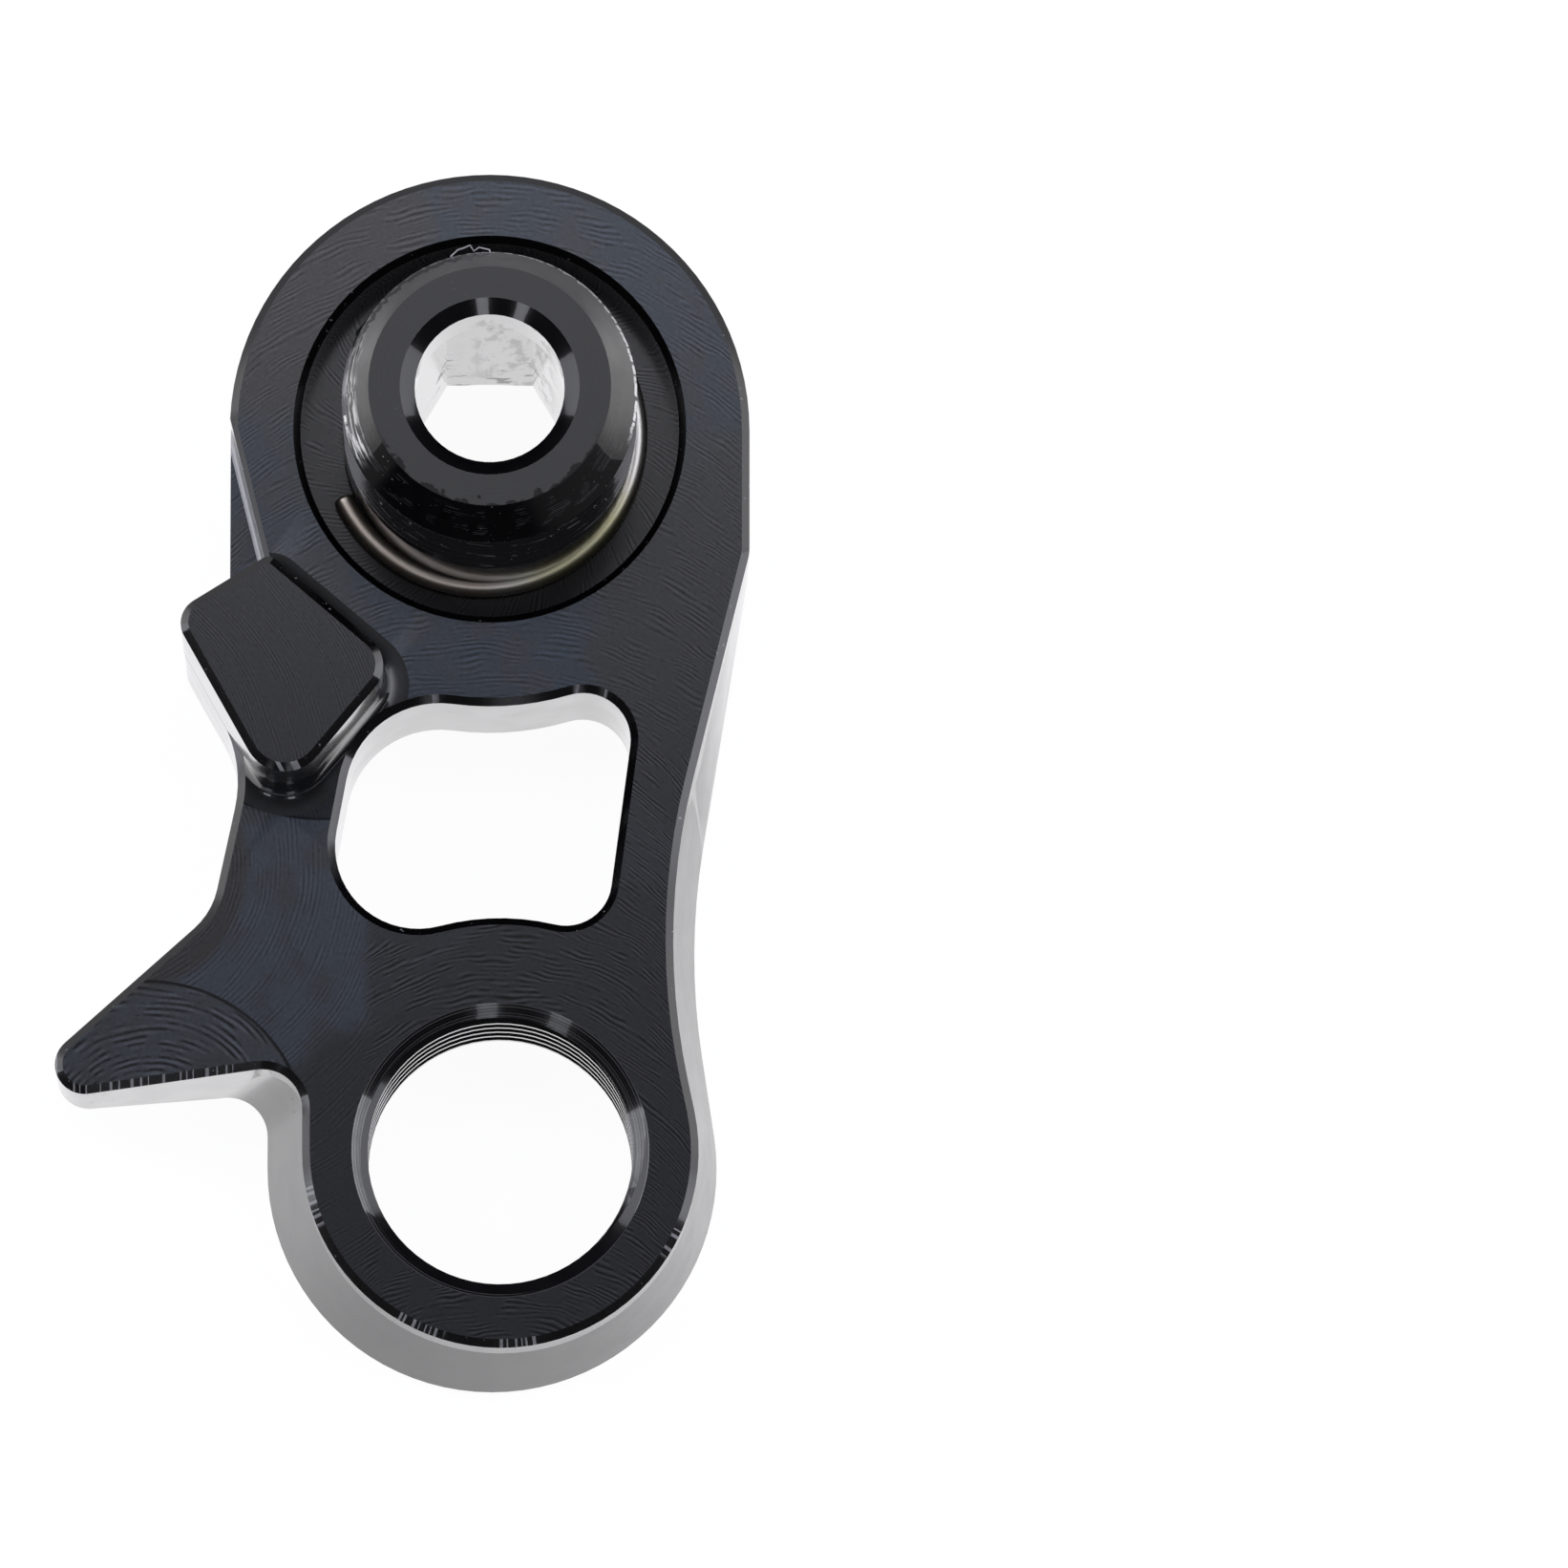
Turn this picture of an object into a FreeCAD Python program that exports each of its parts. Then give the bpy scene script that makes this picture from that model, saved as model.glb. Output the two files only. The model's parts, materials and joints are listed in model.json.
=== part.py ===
import FreeCAD, Part
import math
import os

# Derailleur mount adapter: a milled link that lowers a rear derailleur below the frame's hanger.
# Millimetres. The origin is on the mounting bolt's axis, in the front face that seats on the hanger.
# +Z leaves that face along the bolt's nose, and +Y runs from the lower eye up to the head.

# Plate
PLATE_THICKNESS = 6.2
EDGE_CHAMFER = 0.26
STRAIGHT_WALL = 1.5

# Head, a half round with straight sides
HEAD_RADIUS = 8.78
HEAD_SIDE_LENGTH = 4.2
SHOULDER_RADIUS = 1.5

# Lower eye, whose wall flares out towards the back
EYE_DROP = 24.58
EYE_OFFSET = 0.42
EYE_RADIUS = 6.66
EYE_FLARE = 0.95
EYE_FLARE_SIDEWAYS = -0.28
EYE_FLARE_UP = 0.14
FLANK_LEAN = 13.8
FLANK_BACK_LEAN = 9.2
WAIST_LEAN = 12.0
WAIST_BACK_LEAN = 8.6
WAIST_RADIUS = 23.0
NOTCH_RADIUS = 1.35

# Claw that the derailleur's stop screw bears on
CLAW_REACH = 14.55
CLAW_DROP = 21.68
CLAW_TIP_RADIUS = 1.0
CLAW_TIP_THICKNESS = 3.4
CLAW_LOWER_ANGLE = 8.4
CLAW_UPPER_ANGLE = 42.0
CLAW_ROOT_RADIUS = 2.5
CLAW_TAPER_START = 8.6

# Neck between the claw and the stop block
NECK_SIDE = 8.47
NECK_DROP = 12.6
NECK_LEAN = 12.0
NECK_RADIUS = 4.4

# Stop block that bears on the hanger's own stop
BLOCK_HEIGHT = 4.5
BLOCK_CORNER_SIDE = 10.6
BLOCK_CORNER_DROP = 7.08
BLOCK_UPPER_ANGLE = 32.0
BLOCK_LOWER_ANGLE = 60.7
BLOCK_LENGTH = 7.33
BLOCK_INNER_ANGLE = 50.5
BLOCK_LEFT_RADIUS = 0.9
BLOCK_BOTTOM_RADIUS = 1.4
BLOCK_INNER_RADIUS = 1.15
BLOCK_TOP_RADIUS = 0.35
BLOCK_SEAT_OFFSET = 8.6
BLOCK_SEAT_ANGLE = 40.3
BLOCK_FOOT_RADIUS = 0.85
BLOCK_STEP = 0.03

# Ledge cut into the head beside the stop block
LEDGE_RISE = 0.4
LEDGE_LEAN = 13.9
LEDGE_DEPTH = 2.5
LEDGE_CHAMFER = 0.18
LEDGE_FILLET = 0.2

# Window through the middle
WINDOW_HEAD_RIM = 0.68
WINDOW_EYE_RIM = 1.25
WINDOW_DROP = 12.8
WINDOW_LEFT = 4.95
WINDOW_LEFT_LEAN = 10.5
WINDOW_RIGHT = 4.5
WINDOW_RIGHT_LEAN = 7.5
WINDOW_TOP_LEFT_RADIUS = 3.2
WINDOW_TOP_RIGHT_RADIUS = 1.6
WINDOW_BOTTOM_LEFT_RADIUS = 2.8
WINDOW_BOTTOM_RIGHT_RADIUS = 1.55

# Lower thread, M10 x 1, modelled at its minor diameter
EYE_THREAD_DIAMETER = 10.0
THREAD_PITCH = 1.0
THREAD_DEPTH_RATIO = 0.5413
EYE_SINK_DEPTH = 0.5

# Mounting bolt
BOLT_DIAMETER = 9.9
BOLT_NOSE = 8.2
BOLT_CONE_LENGTH = 2.0
BOLT_TIP_DIAMETER = 8.1
BOLT_BORE = 5.0
BOLT_BORE_CHAMFER = 0.5
BOLT_BORE_CHAMFER_DEPTH = 0.45
BOLT_FLANGE_DIAMETER = 13.8
BOLT_FLANGE_THICKNESS = 1.5
BOLT_FLANGE_CHAMFER = 0.3
HEX_ACROSS_FLATS = 5.05
HEX_DEPTH = 11.5
HEX_MOUTH_CHAMFER = 0.25

# Bolt seat in the head
SEAT_RECESS_RADIUS = 6.4
SEAT_RECESS_DEPTH = 2.5
SEAT_RECESS_CHAMFER = 0.24
BOLT_RADIAL_CLEARANCE = 0.05
FLANGE_RADIAL_CLEARANCE = 0.15
FLANGE_SUNK = 0.1
AXIAL_CLEARANCE = 0.05

# Retaining ring
RING_WIRE = 0.7
RING_GROOVE_DEPTH = 0.35
RING_GROOVE_CLEARANCE = 0.02
RING_FLOOR_GAP = 0.05
RING_OPENING_START = 142.0
RING_OPENING_END = 204.5
RING_SPREAD = 0.28
RING_SPREAD_ANGLE = 143.0

# Cutters reach this far past the faces that they cut, and edges are told apart to within TINY
OVERCUT = 2.0
TINY = 1e-4

# Sizes that follow from the ones above
BACK_Z = -PLATE_THICKNESS
EYE_X = EYE_OFFSET
EYE_Y = -EYE_DROP
THREAD_MINOR_RADIUS = EYE_THREAD_DIAMETER / 2 - THREAD_DEPTH_RATIO * THREAD_PITCH
BOLT_RADIUS = BOLT_DIAMETER / 2
BOLT_BORE_IN_HEAD = BOLT_RADIUS + BOLT_RADIAL_CLEARANCE
BOLT_BACK_Z = BACK_Z + FLANGE_SUNK
FLANGE_TOP_Z = BOLT_BACK_Z + BOLT_FLANGE_THICKNESS
COUNTERBORE_RADIUS = BOLT_FLANGE_DIAMETER / 2 + FLANGE_RADIAL_CLEARANCE
COUNTERBORE_DEPTH = FLANGE_SUNK + BOLT_FLANGE_THICKNESS + AXIAL_CLEARANCE
RING_Z = -SEAT_RECESS_DEPTH + RING_FLOOR_GAP + RING_WIRE / 2
RING_RADIUS = BOLT_RADIUS - RING_GROOVE_DEPTH + RING_WIRE / 2 + RING_SPREAD


def at(x, y, z=0.0):
    return FreeCAD.Vector(x, y, z)


def heading(degrees):
    """Unit vector in the plate's plane, measured from +X towards +Y."""
    return at(math.cos(math.radians(degrees)), math.sin(math.radians(degrees)))


def meet(line_a, line_b):
    """Point where two lines cross. A line is a point and a direction."""
    (point_a, way_a), (point_b, way_b) = line_a, line_b
    across = way_a.x * way_b.y - way_a.y * way_b.x
    gap = point_b - point_a
    return point_a + way_a * ((gap.x * way_b.y - gap.y * way_b.x) / across)


def straight(start, end):
    return Part.LineSegment(start, end).toShape()


def turn_at(corners, index):
    """Directions into and out of a corner, and the signed angle between them."""
    point = corners[index][0]
    way_in = (point - corners[index - 1][0]).normalize()
    way_out = (corners[(index + 1) % len(corners)][0] - point).normalize()
    turn = math.atan2(way_in.x * way_out.y - way_in.y * way_out.x, way_in.dot(way_out))
    return way_in, way_out, turn


def inset_corners(corners, inset):
    """Corners of the same clockwise outline, moved inwards, with their radii kept concentric."""
    moved = []
    for index, (point, radius) in enumerate(corners):
        way_in, way_out, turn = turn_at(corners, index)
        line_in = (point + at(way_in.y, -way_in.x) * inset, way_in)
        line_out = (point + at(way_out.y, -way_out.x) * inset, way_out)
        change = -inset if turn < 0 else inset
        moved.append((meet(line_in, line_out), radius + change if radius else 0.0))
    return moved


def rounded_wire(corners, z):
    """Closed wire of straight runs, with a tangent arc at each corner that has a radius."""
    lift = at(0, 0, z)
    edges = []
    ends = []
    for index, (point, radius) in enumerate(corners):
        way_in, way_out, turn = turn_at(corners, index)
        reach = radius * math.tan(abs(turn) / 2)
        start = point - way_in * reach + lift
        end = point + way_out * reach + lift
        arc = None
        if radius:
            middle = (way_out - way_in).normalize() * (radius / math.cos(turn / 2) - radius)
            arc = Part.Arc(start, point + middle + lift, end).toShape()
        ends.append((start, end, arc))
    for index, (start, end, arc) in enumerate(ends):
        previous_end = ends[index - 1][1]
        if previous_end.distanceToPoint(start) > TINY:
            edges.append(straight(previous_end, start))
        if arc:
            edges.append(arc)
    return Part.Wire(edges)


def prism(wire, height):
    return Part.Face(wire).extrude(at(0, 0, height))


def cylinder(x, y, radius, z_low, z_high):
    return Part.makeCylinder(radius, z_high - z_low, at(x, y, z_low))


def cone(x, y, radius_low, radius_high, z_low, z_high):
    return Part.makeCone(radius_low, radius_high, z_high - z_low, at(x, y, z_low))


def turned(profile):
    """Full turn about Z of a closed profile of (radius, z) points."""
    points = [at(radius, 0, z) for radius, z in profile]
    face = Part.Face(Part.makePolygon(points + points[:1]))
    return face.revolve(at(0, 0, 0), at(0, 0, 1), 360)


# Lines that bound the stop block, and that the plate follows at its left side
BLOCK_CORNER = at(-BLOCK_CORNER_SIDE, -BLOCK_CORNER_DROP)
BLOCK_UPPER_WAY = heading(BLOCK_UPPER_ANGLE)
BLOCK_LOWER_WAY = heading(-BLOCK_LOWER_ANGLE)
BLOCK_INNER_WAY = heading(BLOCK_INNER_ANGLE)
BLOCK_SEAT = (heading(-90 - BLOCK_SEAT_ANGLE) * BLOCK_SEAT_OFFSET, heading(-BLOCK_SEAT_ANGLE))


def plate_corners(eye_x, eye_y, eye_radius, flank_lean, waist_lean):
    """The plate's outline, clockwise from the head's upper left, as sharp corners with radii."""
    side = HEAD_RADIUS
    flank = (at(side, -HEAD_SIDE_LENGTH), heading(-90 - flank_lean))
    eye_right = (at(eye_x, eye_y) + heading(waist_lean) * eye_radius, heading(waist_lean - 90))
    eye_bottom = (at(eye_x, eye_y - eye_radius), at(1, 0))
    eye_left = (at(eye_x - eye_radius, eye_y), at(0, 1))
    tip = at(CLAW_TIP_RADIUS - CLAW_REACH, -CLAW_DROP)
    claw_lower = (tip + heading(CLAW_LOWER_ANGLE - 90) * CLAW_TIP_RADIUS, heading(CLAW_LOWER_ANGLE))
    claw_upper = (tip + heading(CLAW_UPPER_ANGLE + 90) * CLAW_TIP_RADIUS, heading(CLAW_UPPER_ANGLE))
    neck = (at(-NECK_SIDE, -NECK_DROP), heading(90 - NECK_LEAN))
    block_upper = (BLOCK_CORNER, BLOCK_UPPER_WAY)
    block_lower = (BLOCK_CORNER, BLOCK_LOWER_WAY)
    head_left = (at(-side, 0), at(0, 1))
    return [
        (at(-side, side), side),
        (at(side, side), side),
        (at(side, -HEAD_SIDE_LENGTH), SHOULDER_RADIUS),
        (meet(flank, eye_right), WAIST_RADIUS),
        (meet(eye_right, eye_bottom), eye_radius),
        (meet(eye_bottom, eye_left), eye_radius),
        (meet(eye_left, claw_lower), NOTCH_RADIUS),
        (meet(claw_lower, claw_upper), CLAW_TIP_RADIUS),
        (meet(claw_upper, neck), CLAW_ROOT_RADIUS),
        (meet(neck, block_lower), NECK_RADIUS),
        (BLOCK_CORNER, BLOCK_LEFT_RADIUS),
        (meet(block_upper, head_left), 0.0),
    ]


FRONT_CORNERS = plate_corners(EYE_X, EYE_Y, EYE_RADIUS, FLANK_LEAN, WAIST_LEAN)
BACK_CORNERS = plate_corners(
    EYE_X + EYE_FLARE_SIDEWAYS, EYE_Y + EYE_FLARE_UP, EYE_RADIUS + EYE_FLARE,
    FLANK_BACK_LEAN, WAIST_BACK_LEAN,
)


def make_plate():
    """Plate with chamfered rims, straight near the front and flared towards the back."""
    straight_end = -EDGE_CHAMFER - STRAIGHT_WALL
    sections = [
        rounded_wire(inset_corners(FRONT_CORNERS, EDGE_CHAMFER), 0),
        rounded_wire(FRONT_CORNERS, -EDGE_CHAMFER),
        rounded_wire(FRONT_CORNERS, straight_end),
        rounded_wire(BACK_CORNERS, BACK_Z + EDGE_CHAMFER),
        rounded_wire(inset_corners(BACK_CORNERS, EDGE_CHAMFER), BACK_Z),
    ]
    return Part.makeLoft(sections, True, True)


def on_circle(point, way, centre, radius):
    """Where a line that starts outside a circle first meets it."""
    offset = point - centre
    along = offset.dot(way)
    return point + way * (-along - math.sqrt(along * along - offset.dot(offset) + radius * radius))


def arc_about(centre, start, end):
    """Short arc between two points at the same distance from a centre."""
    radius = (start - centre).Length
    middle = centre + ((start + end) / 2 - centre).normalize() * radius
    return Part.Arc(start, middle, end).toShape()


def block_column(z_low):
    """The stop block's column: four walls with rounded corners, one of them beside the hanger's seat."""
    left = BLOCK_CORNER + (BLOCK_UPPER_WAY + BLOCK_LOWER_WAY).normalize() * -BLOCK_STEP
    bottom = left + BLOCK_LOWER_WAY * BLOCK_LENGTH
    corners = [
        (left, BLOCK_LEFT_RADIUS),
        (meet((left, BLOCK_UPPER_WAY), BLOCK_SEAT), BLOCK_TOP_RADIUS),
        (meet((bottom, BLOCK_INNER_WAY), BLOCK_SEAT), BLOCK_INNER_RADIUS),
        (bottom, BLOCK_BOTTOM_RADIUS),
    ]
    return prism(rounded_wire(corners, z_low), BLOCK_HEIGHT - z_low)


def make_stop_block():
    """The stop block with its chamfered top, and the fillet at its foot cut off at the plate's rim."""
    column = block_column(-EDGE_CHAMFER - BLOCK_STEP)
    rim = [edge for edge in column.Edges if edge.BoundBox.ZMin > BLOCK_HEIGHT - TINY]
    block = column.makeChamfer(EDGE_CHAMFER, rim)
    box = column.BoundBox
    margin = 2 * BLOCK_FOOT_RADIUS
    floor = Part.makeBox(
        box.XLength + 2 * margin, box.YLength + 2 * margin, EDGE_CHAMFER,
        at(box.XMin - margin, box.YMin - margin, -EDGE_CHAMFER),
    )
    foot = column.fuse(floor)
    joint = [edge for edge in foot.Edges if lies_on_foot(edge, column)]
    foot = foot.makeFillet(BLOCK_FOOT_RADIUS, joint)
    rim_wire = rounded_wire(inset_corners(FRONT_CORNERS, EDGE_CHAMFER), -EDGE_CHAMFER)
    foot = foot.common(prism(rim_wire, EDGE_CHAMFER + BLOCK_FOOT_RADIUS))
    return block.fuse(foot)


def lies_on_foot(edge, column):
    """True for an edge in the front face that runs along the column's wall."""
    if max(abs(edge.BoundBox.ZMin), abs(edge.BoundBox.ZMax)) > TINY:
        return False
    middle = edge.valueAt((edge.FirstParameter + edge.LastParameter) / 2)
    return column.distToShape(Part.Vertex(middle))[0] < TINY


def ledge_cutter():
    """Cutter drawn along the ledge's slanted line: a floor, a wall, a fillet and a rim chamfer."""
    along = heading(LEDGE_LEAN - 90)
    inward = heading(LEDGE_LEAN)
    start = at(-HEAD_RADIUS, LEDGE_RISE) - along * OVERCUT
    outer = -HEAD_RADIUS
    length = OVERCUT + LEDGE_RISE + BLOCK_CORNER_DROP

    def section(side, z):
        return start + inward * side + at(0, 0, z)

    bend = LEDGE_FILLET * (1 - math.sqrt(0.5))
    floor_end = section(-LEDGE_FILLET, -LEDGE_DEPTH)
    wall_start = section(0, LEDGE_FILLET - LEDGE_DEPTH)
    fillet = Part.Arc(floor_end, section(-bend, bend - LEDGE_DEPTH), wall_start).toShape()
    chain = [
        wall_start, section(0, -LEDGE_CHAMFER), section(LEDGE_CHAMFER, 0),
        section(LEDGE_CHAMFER, OVERCUT), section(outer, OVERCUT), section(outer, -LEDGE_DEPTH), floor_end,
    ]
    face = Part.Face(Part.Wire([fillet] + Part.makePolygon(chain).Edges))
    return face.extrude(along * length).cut(block_column(BACK_Z))


def window_corner(side, inward, way, radius, centre, rim, grow):
    """A corner arc that touches a leaning side and a round rim: its centre and its two ends."""
    middle = on_circle(side + inward * radius, way, centre, rim + radius)
    on_side = middle - inward * (radius + grow)
    on_rim = centre + (middle - centre).normalize() * (rim - grow)
    return middle, on_side, on_rim


def window_wire(grow, z):
    """The window's outline: an arc round the head, one round the eye, and two leaning sides."""
    head = at(0, 0)
    eye = at(EYE_X, EYE_Y)
    head_rim = HEAD_RADIUS + WINDOW_HEAD_RIM
    eye_rim = EYE_RADIUS + WINDOW_EYE_RIM
    left = (at(-WINDOW_LEFT, -WINDOW_DROP), heading(-WINDOW_LEFT_LEAN))
    right = (at(WINDOW_RIGHT, -WINDOW_DROP), heading(180 - WINDOW_RIGHT_LEAN))
    left_up = heading(90 - WINDOW_LEFT_LEAN)
    right_up = heading(90 - WINDOW_RIGHT_LEAN)
    top_left = window_corner(*left, left_up, WINDOW_TOP_LEFT_RADIUS, head, head_rim, grow)
    top_right = window_corner(*right, right_up, WINDOW_TOP_RIGHT_RADIUS, head, head_rim, grow)
    bottom_left = window_corner(*left, left_up * -1, WINDOW_BOTTOM_LEFT_RADIUS, eye, eye_rim, grow)
    bottom_right = window_corner(*right, right_up * -1, WINDOW_BOTTOM_RIGHT_RADIUS, eye, eye_rim, grow)
    edges = [
        arc_about(head, top_left[2], top_right[2]),
        arc_about(top_right[0], top_right[2], top_right[1]),
        straight(top_right[1], bottom_right[1]),
        arc_about(bottom_right[0], bottom_right[1], bottom_right[2]),
        arc_about(eye, bottom_right[2], bottom_left[2]),
        arc_about(bottom_left[0], bottom_left[2], bottom_left[1]),
        straight(bottom_left[1], top_left[1]),
        arc_about(top_left[0], top_left[1], top_left[2]),
    ]
    wire = Part.Wire(edges)
    wire.translate(at(0, 0, z))
    return wire


def window_cutter():
    """Cutter for the window, which widens into a chamfer at the front and at the back."""
    sections = [
        (EDGE_CHAMFER, BACK_Z - OVERCUT), (EDGE_CHAMFER, BACK_Z), (0, BACK_Z + EDGE_CHAMFER),
        (0, -EDGE_CHAMFER), (EDGE_CHAMFER, 0), (EDGE_CHAMFER, BLOCK_FOOT_RADIUS),
    ]
    return Part.makeLoft([window_wire(grow, z) for grow, z in sections], True, True)


def claw_taper_cutter():
    """Wedge that thins the claw from the back, down to its tip."""
    slope = (PLATE_THICKNESS - CLAW_TIP_THICKNESS) / (CLAW_REACH - CLAW_TAPER_START)
    far = CLAW_REACH + OVERCUT
    low = -CLAW_DROP - OVERCUT
    section = [
        at(-CLAW_TAPER_START, low, BACK_Z),
        at(-far, low, BACK_Z + slope * (far - CLAW_TAPER_START)),
        at(-far, low, BACK_Z - OVERCUT),
        at(-CLAW_TAPER_START, low, BACK_Z - OVERCUT),
    ]
    return Part.Face(Part.makePolygon(section + section[:1])).extrude(at(0, -NECK_DROP - low, 0))


def head_cutters():
    """Recess for the ring, bore for the bolt and counterbore for its flange."""
    mouth_z = -SEAT_RECESS_CHAMFER
    mouth_radius = SEAT_RECESS_RADIUS + SEAT_RECESS_CHAMFER
    floor_z = BACK_Z + COUNTERBORE_DEPTH
    rim_radius = COUNTERBORE_RADIUS + EDGE_CHAMFER
    return [
        cylinder(0, 0, SEAT_RECESS_RADIUS, -SEAT_RECESS_DEPTH, OVERCUT),
        cone(0, 0, SEAT_RECESS_RADIUS, mouth_radius, mouth_z, 0),
        cylinder(0, 0, BOLT_BORE_IN_HEAD, BACK_Z - OVERCUT, OVERCUT),
        cylinder(0, 0, COUNTERBORE_RADIUS, BACK_Z - OVERCUT, floor_z),
        cone(0, 0, rim_radius, COUNTERBORE_RADIUS, BACK_Z, BACK_Z + EDGE_CHAMFER),
    ]


def eye_cutters():
    """Hole for the derailleur's bolt, countersunk to the thread's full diameter on both faces."""
    full_radius = EYE_THREAD_DIAMETER / 2
    back_sink = full_radius - THREAD_MINOR_RADIUS
    return [
        cylinder(EYE_X, EYE_Y, THREAD_MINOR_RADIUS, BACK_Z - OVERCUT, OVERCUT),
        cone(EYE_X, EYE_Y, THREAD_MINOR_RADIUS, full_radius, -EYE_SINK_DEPTH, 0),
        cone(EYE_X, EYE_Y, full_radius, THREAD_MINOR_RADIUS, BACK_Z, BACK_Z + back_sink),
    ]


def make_adapter_body():
    body = make_plate().fuse(make_stop_block())
    cutters = [ledge_cutter(), claw_taper_cutter(), window_cutter()] + head_cutters() + eye_cutters()
    for cutter in cutters:
        body = body.cut(cutter)
    return body.removeSplitter().Solids[0]


def make_mounting_bolt():
    """Hollow bolt: flange, shank with the ring's groove, nose with a lead-in cone, and hex socket."""
    bore = BOLT_BORE / 2
    flange = BOLT_FLANGE_DIAMETER / 2
    groove = BOLT_RADIUS - RING_GROOVE_DEPTH - RING_GROOVE_CLEARANCE
    groove_half = RING_WIRE / 2 + RING_GROOVE_CLEARANCE
    bolt = turned([
        (bore, BOLT_BACK_Z),
        (flange - BOLT_FLANGE_CHAMFER, BOLT_BACK_Z),
        (flange, BOLT_BACK_Z + BOLT_FLANGE_CHAMFER),
        (flange, FLANGE_TOP_Z),
        (BOLT_RADIUS, FLANGE_TOP_Z),
        (BOLT_RADIUS, RING_Z - groove_half),
        (groove, RING_Z - groove_half),
        (groove, RING_Z + groove_half),
        (BOLT_RADIUS, RING_Z + groove_half),
        (BOLT_RADIUS, BOLT_NOSE - BOLT_CONE_LENGTH),
        (BOLT_TIP_DIAMETER / 2, BOLT_NOSE),
        (bore + BOLT_BORE_CHAMFER, BOLT_NOSE),
        (bore, BOLT_NOSE - BOLT_BORE_CHAMFER_DEPTH),
    ])
    hex_corner = HEX_ACROSS_FLATS / math.sqrt(3)
    hexagon = [heading(60 * side) * hex_corner + at(0, 0, BOLT_BACK_Z - OVERCUT) for side in range(7)]
    socket = prism(Part.makePolygon(hexagon), OVERCUT + HEX_DEPTH)
    mouth_end = BOLT_BACK_Z + HEX_MOUTH_CHAMFER
    mouth = cone(0, 0, hex_corner + HEX_MOUTH_CHAMFER, hex_corner, BOLT_BACK_Z, mouth_end)
    return bolt.cut(socket).cut(mouth).Solids[0]


def make_retaining_ring():
    """Open ring of round wire, sprung a little wide, so that it sits in the groove opposite its gap."""
    circle = Part.makeCircle(RING_WIRE / 2, at(RING_RADIUS, 0, RING_Z), at(0, 1, 0))
    turn = 360 - (RING_OPENING_END - RING_OPENING_START)
    ring = Part.Face(Part.Wire(circle)).revolve(at(0, 0, 0), at(0, 0, 1), turn)
    ring.rotate(at(0, 0, 0), at(0, 0, 1), RING_OPENING_END)
    ring.translate(heading(RING_SPREAD_ANGLE) * RING_SPREAD)
    return ring.Solids[0]


PARTS = {
    "adapter_body": make_adapter_body,
    "mounting_bolt": make_mounting_bolt,
    "retaining_ring": make_retaining_ring,
}

os.makedirs("parts", exist_ok=True)
for name, make in PARTS.items():
    make().exportStep(f"parts/{name}.step")
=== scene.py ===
"""Looks of the derailleur mount adapter: milled link, threaded bolt, wire ring and a plain studio."""

import json
import math

import bmesh
import bpy
from mathutils import Matrix, Vector


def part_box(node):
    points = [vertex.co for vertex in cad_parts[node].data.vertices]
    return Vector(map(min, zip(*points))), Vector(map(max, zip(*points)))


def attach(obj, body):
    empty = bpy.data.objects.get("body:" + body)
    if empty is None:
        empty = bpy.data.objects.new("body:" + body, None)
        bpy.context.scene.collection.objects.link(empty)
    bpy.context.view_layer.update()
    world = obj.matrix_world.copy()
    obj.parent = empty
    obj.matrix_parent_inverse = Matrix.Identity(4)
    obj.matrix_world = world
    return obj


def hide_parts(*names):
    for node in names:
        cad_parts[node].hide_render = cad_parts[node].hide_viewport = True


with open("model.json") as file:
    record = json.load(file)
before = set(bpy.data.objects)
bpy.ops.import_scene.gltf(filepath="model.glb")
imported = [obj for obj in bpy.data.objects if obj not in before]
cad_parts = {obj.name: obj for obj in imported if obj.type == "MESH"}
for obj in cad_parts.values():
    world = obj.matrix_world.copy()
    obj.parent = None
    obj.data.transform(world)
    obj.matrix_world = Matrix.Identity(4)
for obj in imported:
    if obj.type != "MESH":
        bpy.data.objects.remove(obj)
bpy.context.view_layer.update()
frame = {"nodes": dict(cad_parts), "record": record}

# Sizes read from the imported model, in millimetres
MM = 0.001
MOUNTS = {mount["name"]: mount for mount in frame["record"]["mounts"]}
HEAD = Vector((0.0, 0.0, 0.0))
EYE = Vector((*MOUNTS["derailleur_thread"]["pos_m"][:2], 0.0)) / MM
EYE_MINOR = MOUNTS["derailleur_thread"]["dims"]["r_mm"]
NOSE_MAJOR = MOUNTS["hanger_thread"]["dims"]["r_mm"]
FRONT = 0.0
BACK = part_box("adapter_body")[0].z / MM
BLOCK_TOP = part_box("adapter_body")[1].z / MM
NOSE_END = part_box("mounting_bolt")[1].z / MM
BOLT_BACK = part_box("mounting_bolt")[0].z / MM
RING_LOW, RING_HIGH = (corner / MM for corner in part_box("retaining_ring"))

# Threads, M10 x 1 in both places
PITCH = 1.0
FLANK_SLOPE = math.tan(math.radians(30.0))
THREAD_STEPS = 72
EYE_MAJOR = 4.98
EYE_CREST_OPENING = 0.75
EYE_ROOT_FLAT = 0.125
EYE_SPARE_TURNS = 2
EYE_CUTTER_MARGIN = 0.1
NOSE_ROOT = 4.387
NOSE_ROOT_FLAT = 0.25
NOSE_THREAD_TURNS = 5
NOSE_THREAD_TOP = 6.2
NOSE_THREAD_TOP_ANGLE = math.radians(188.0)
NOSE_CUTTER_MARGIN = 0.03

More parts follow.
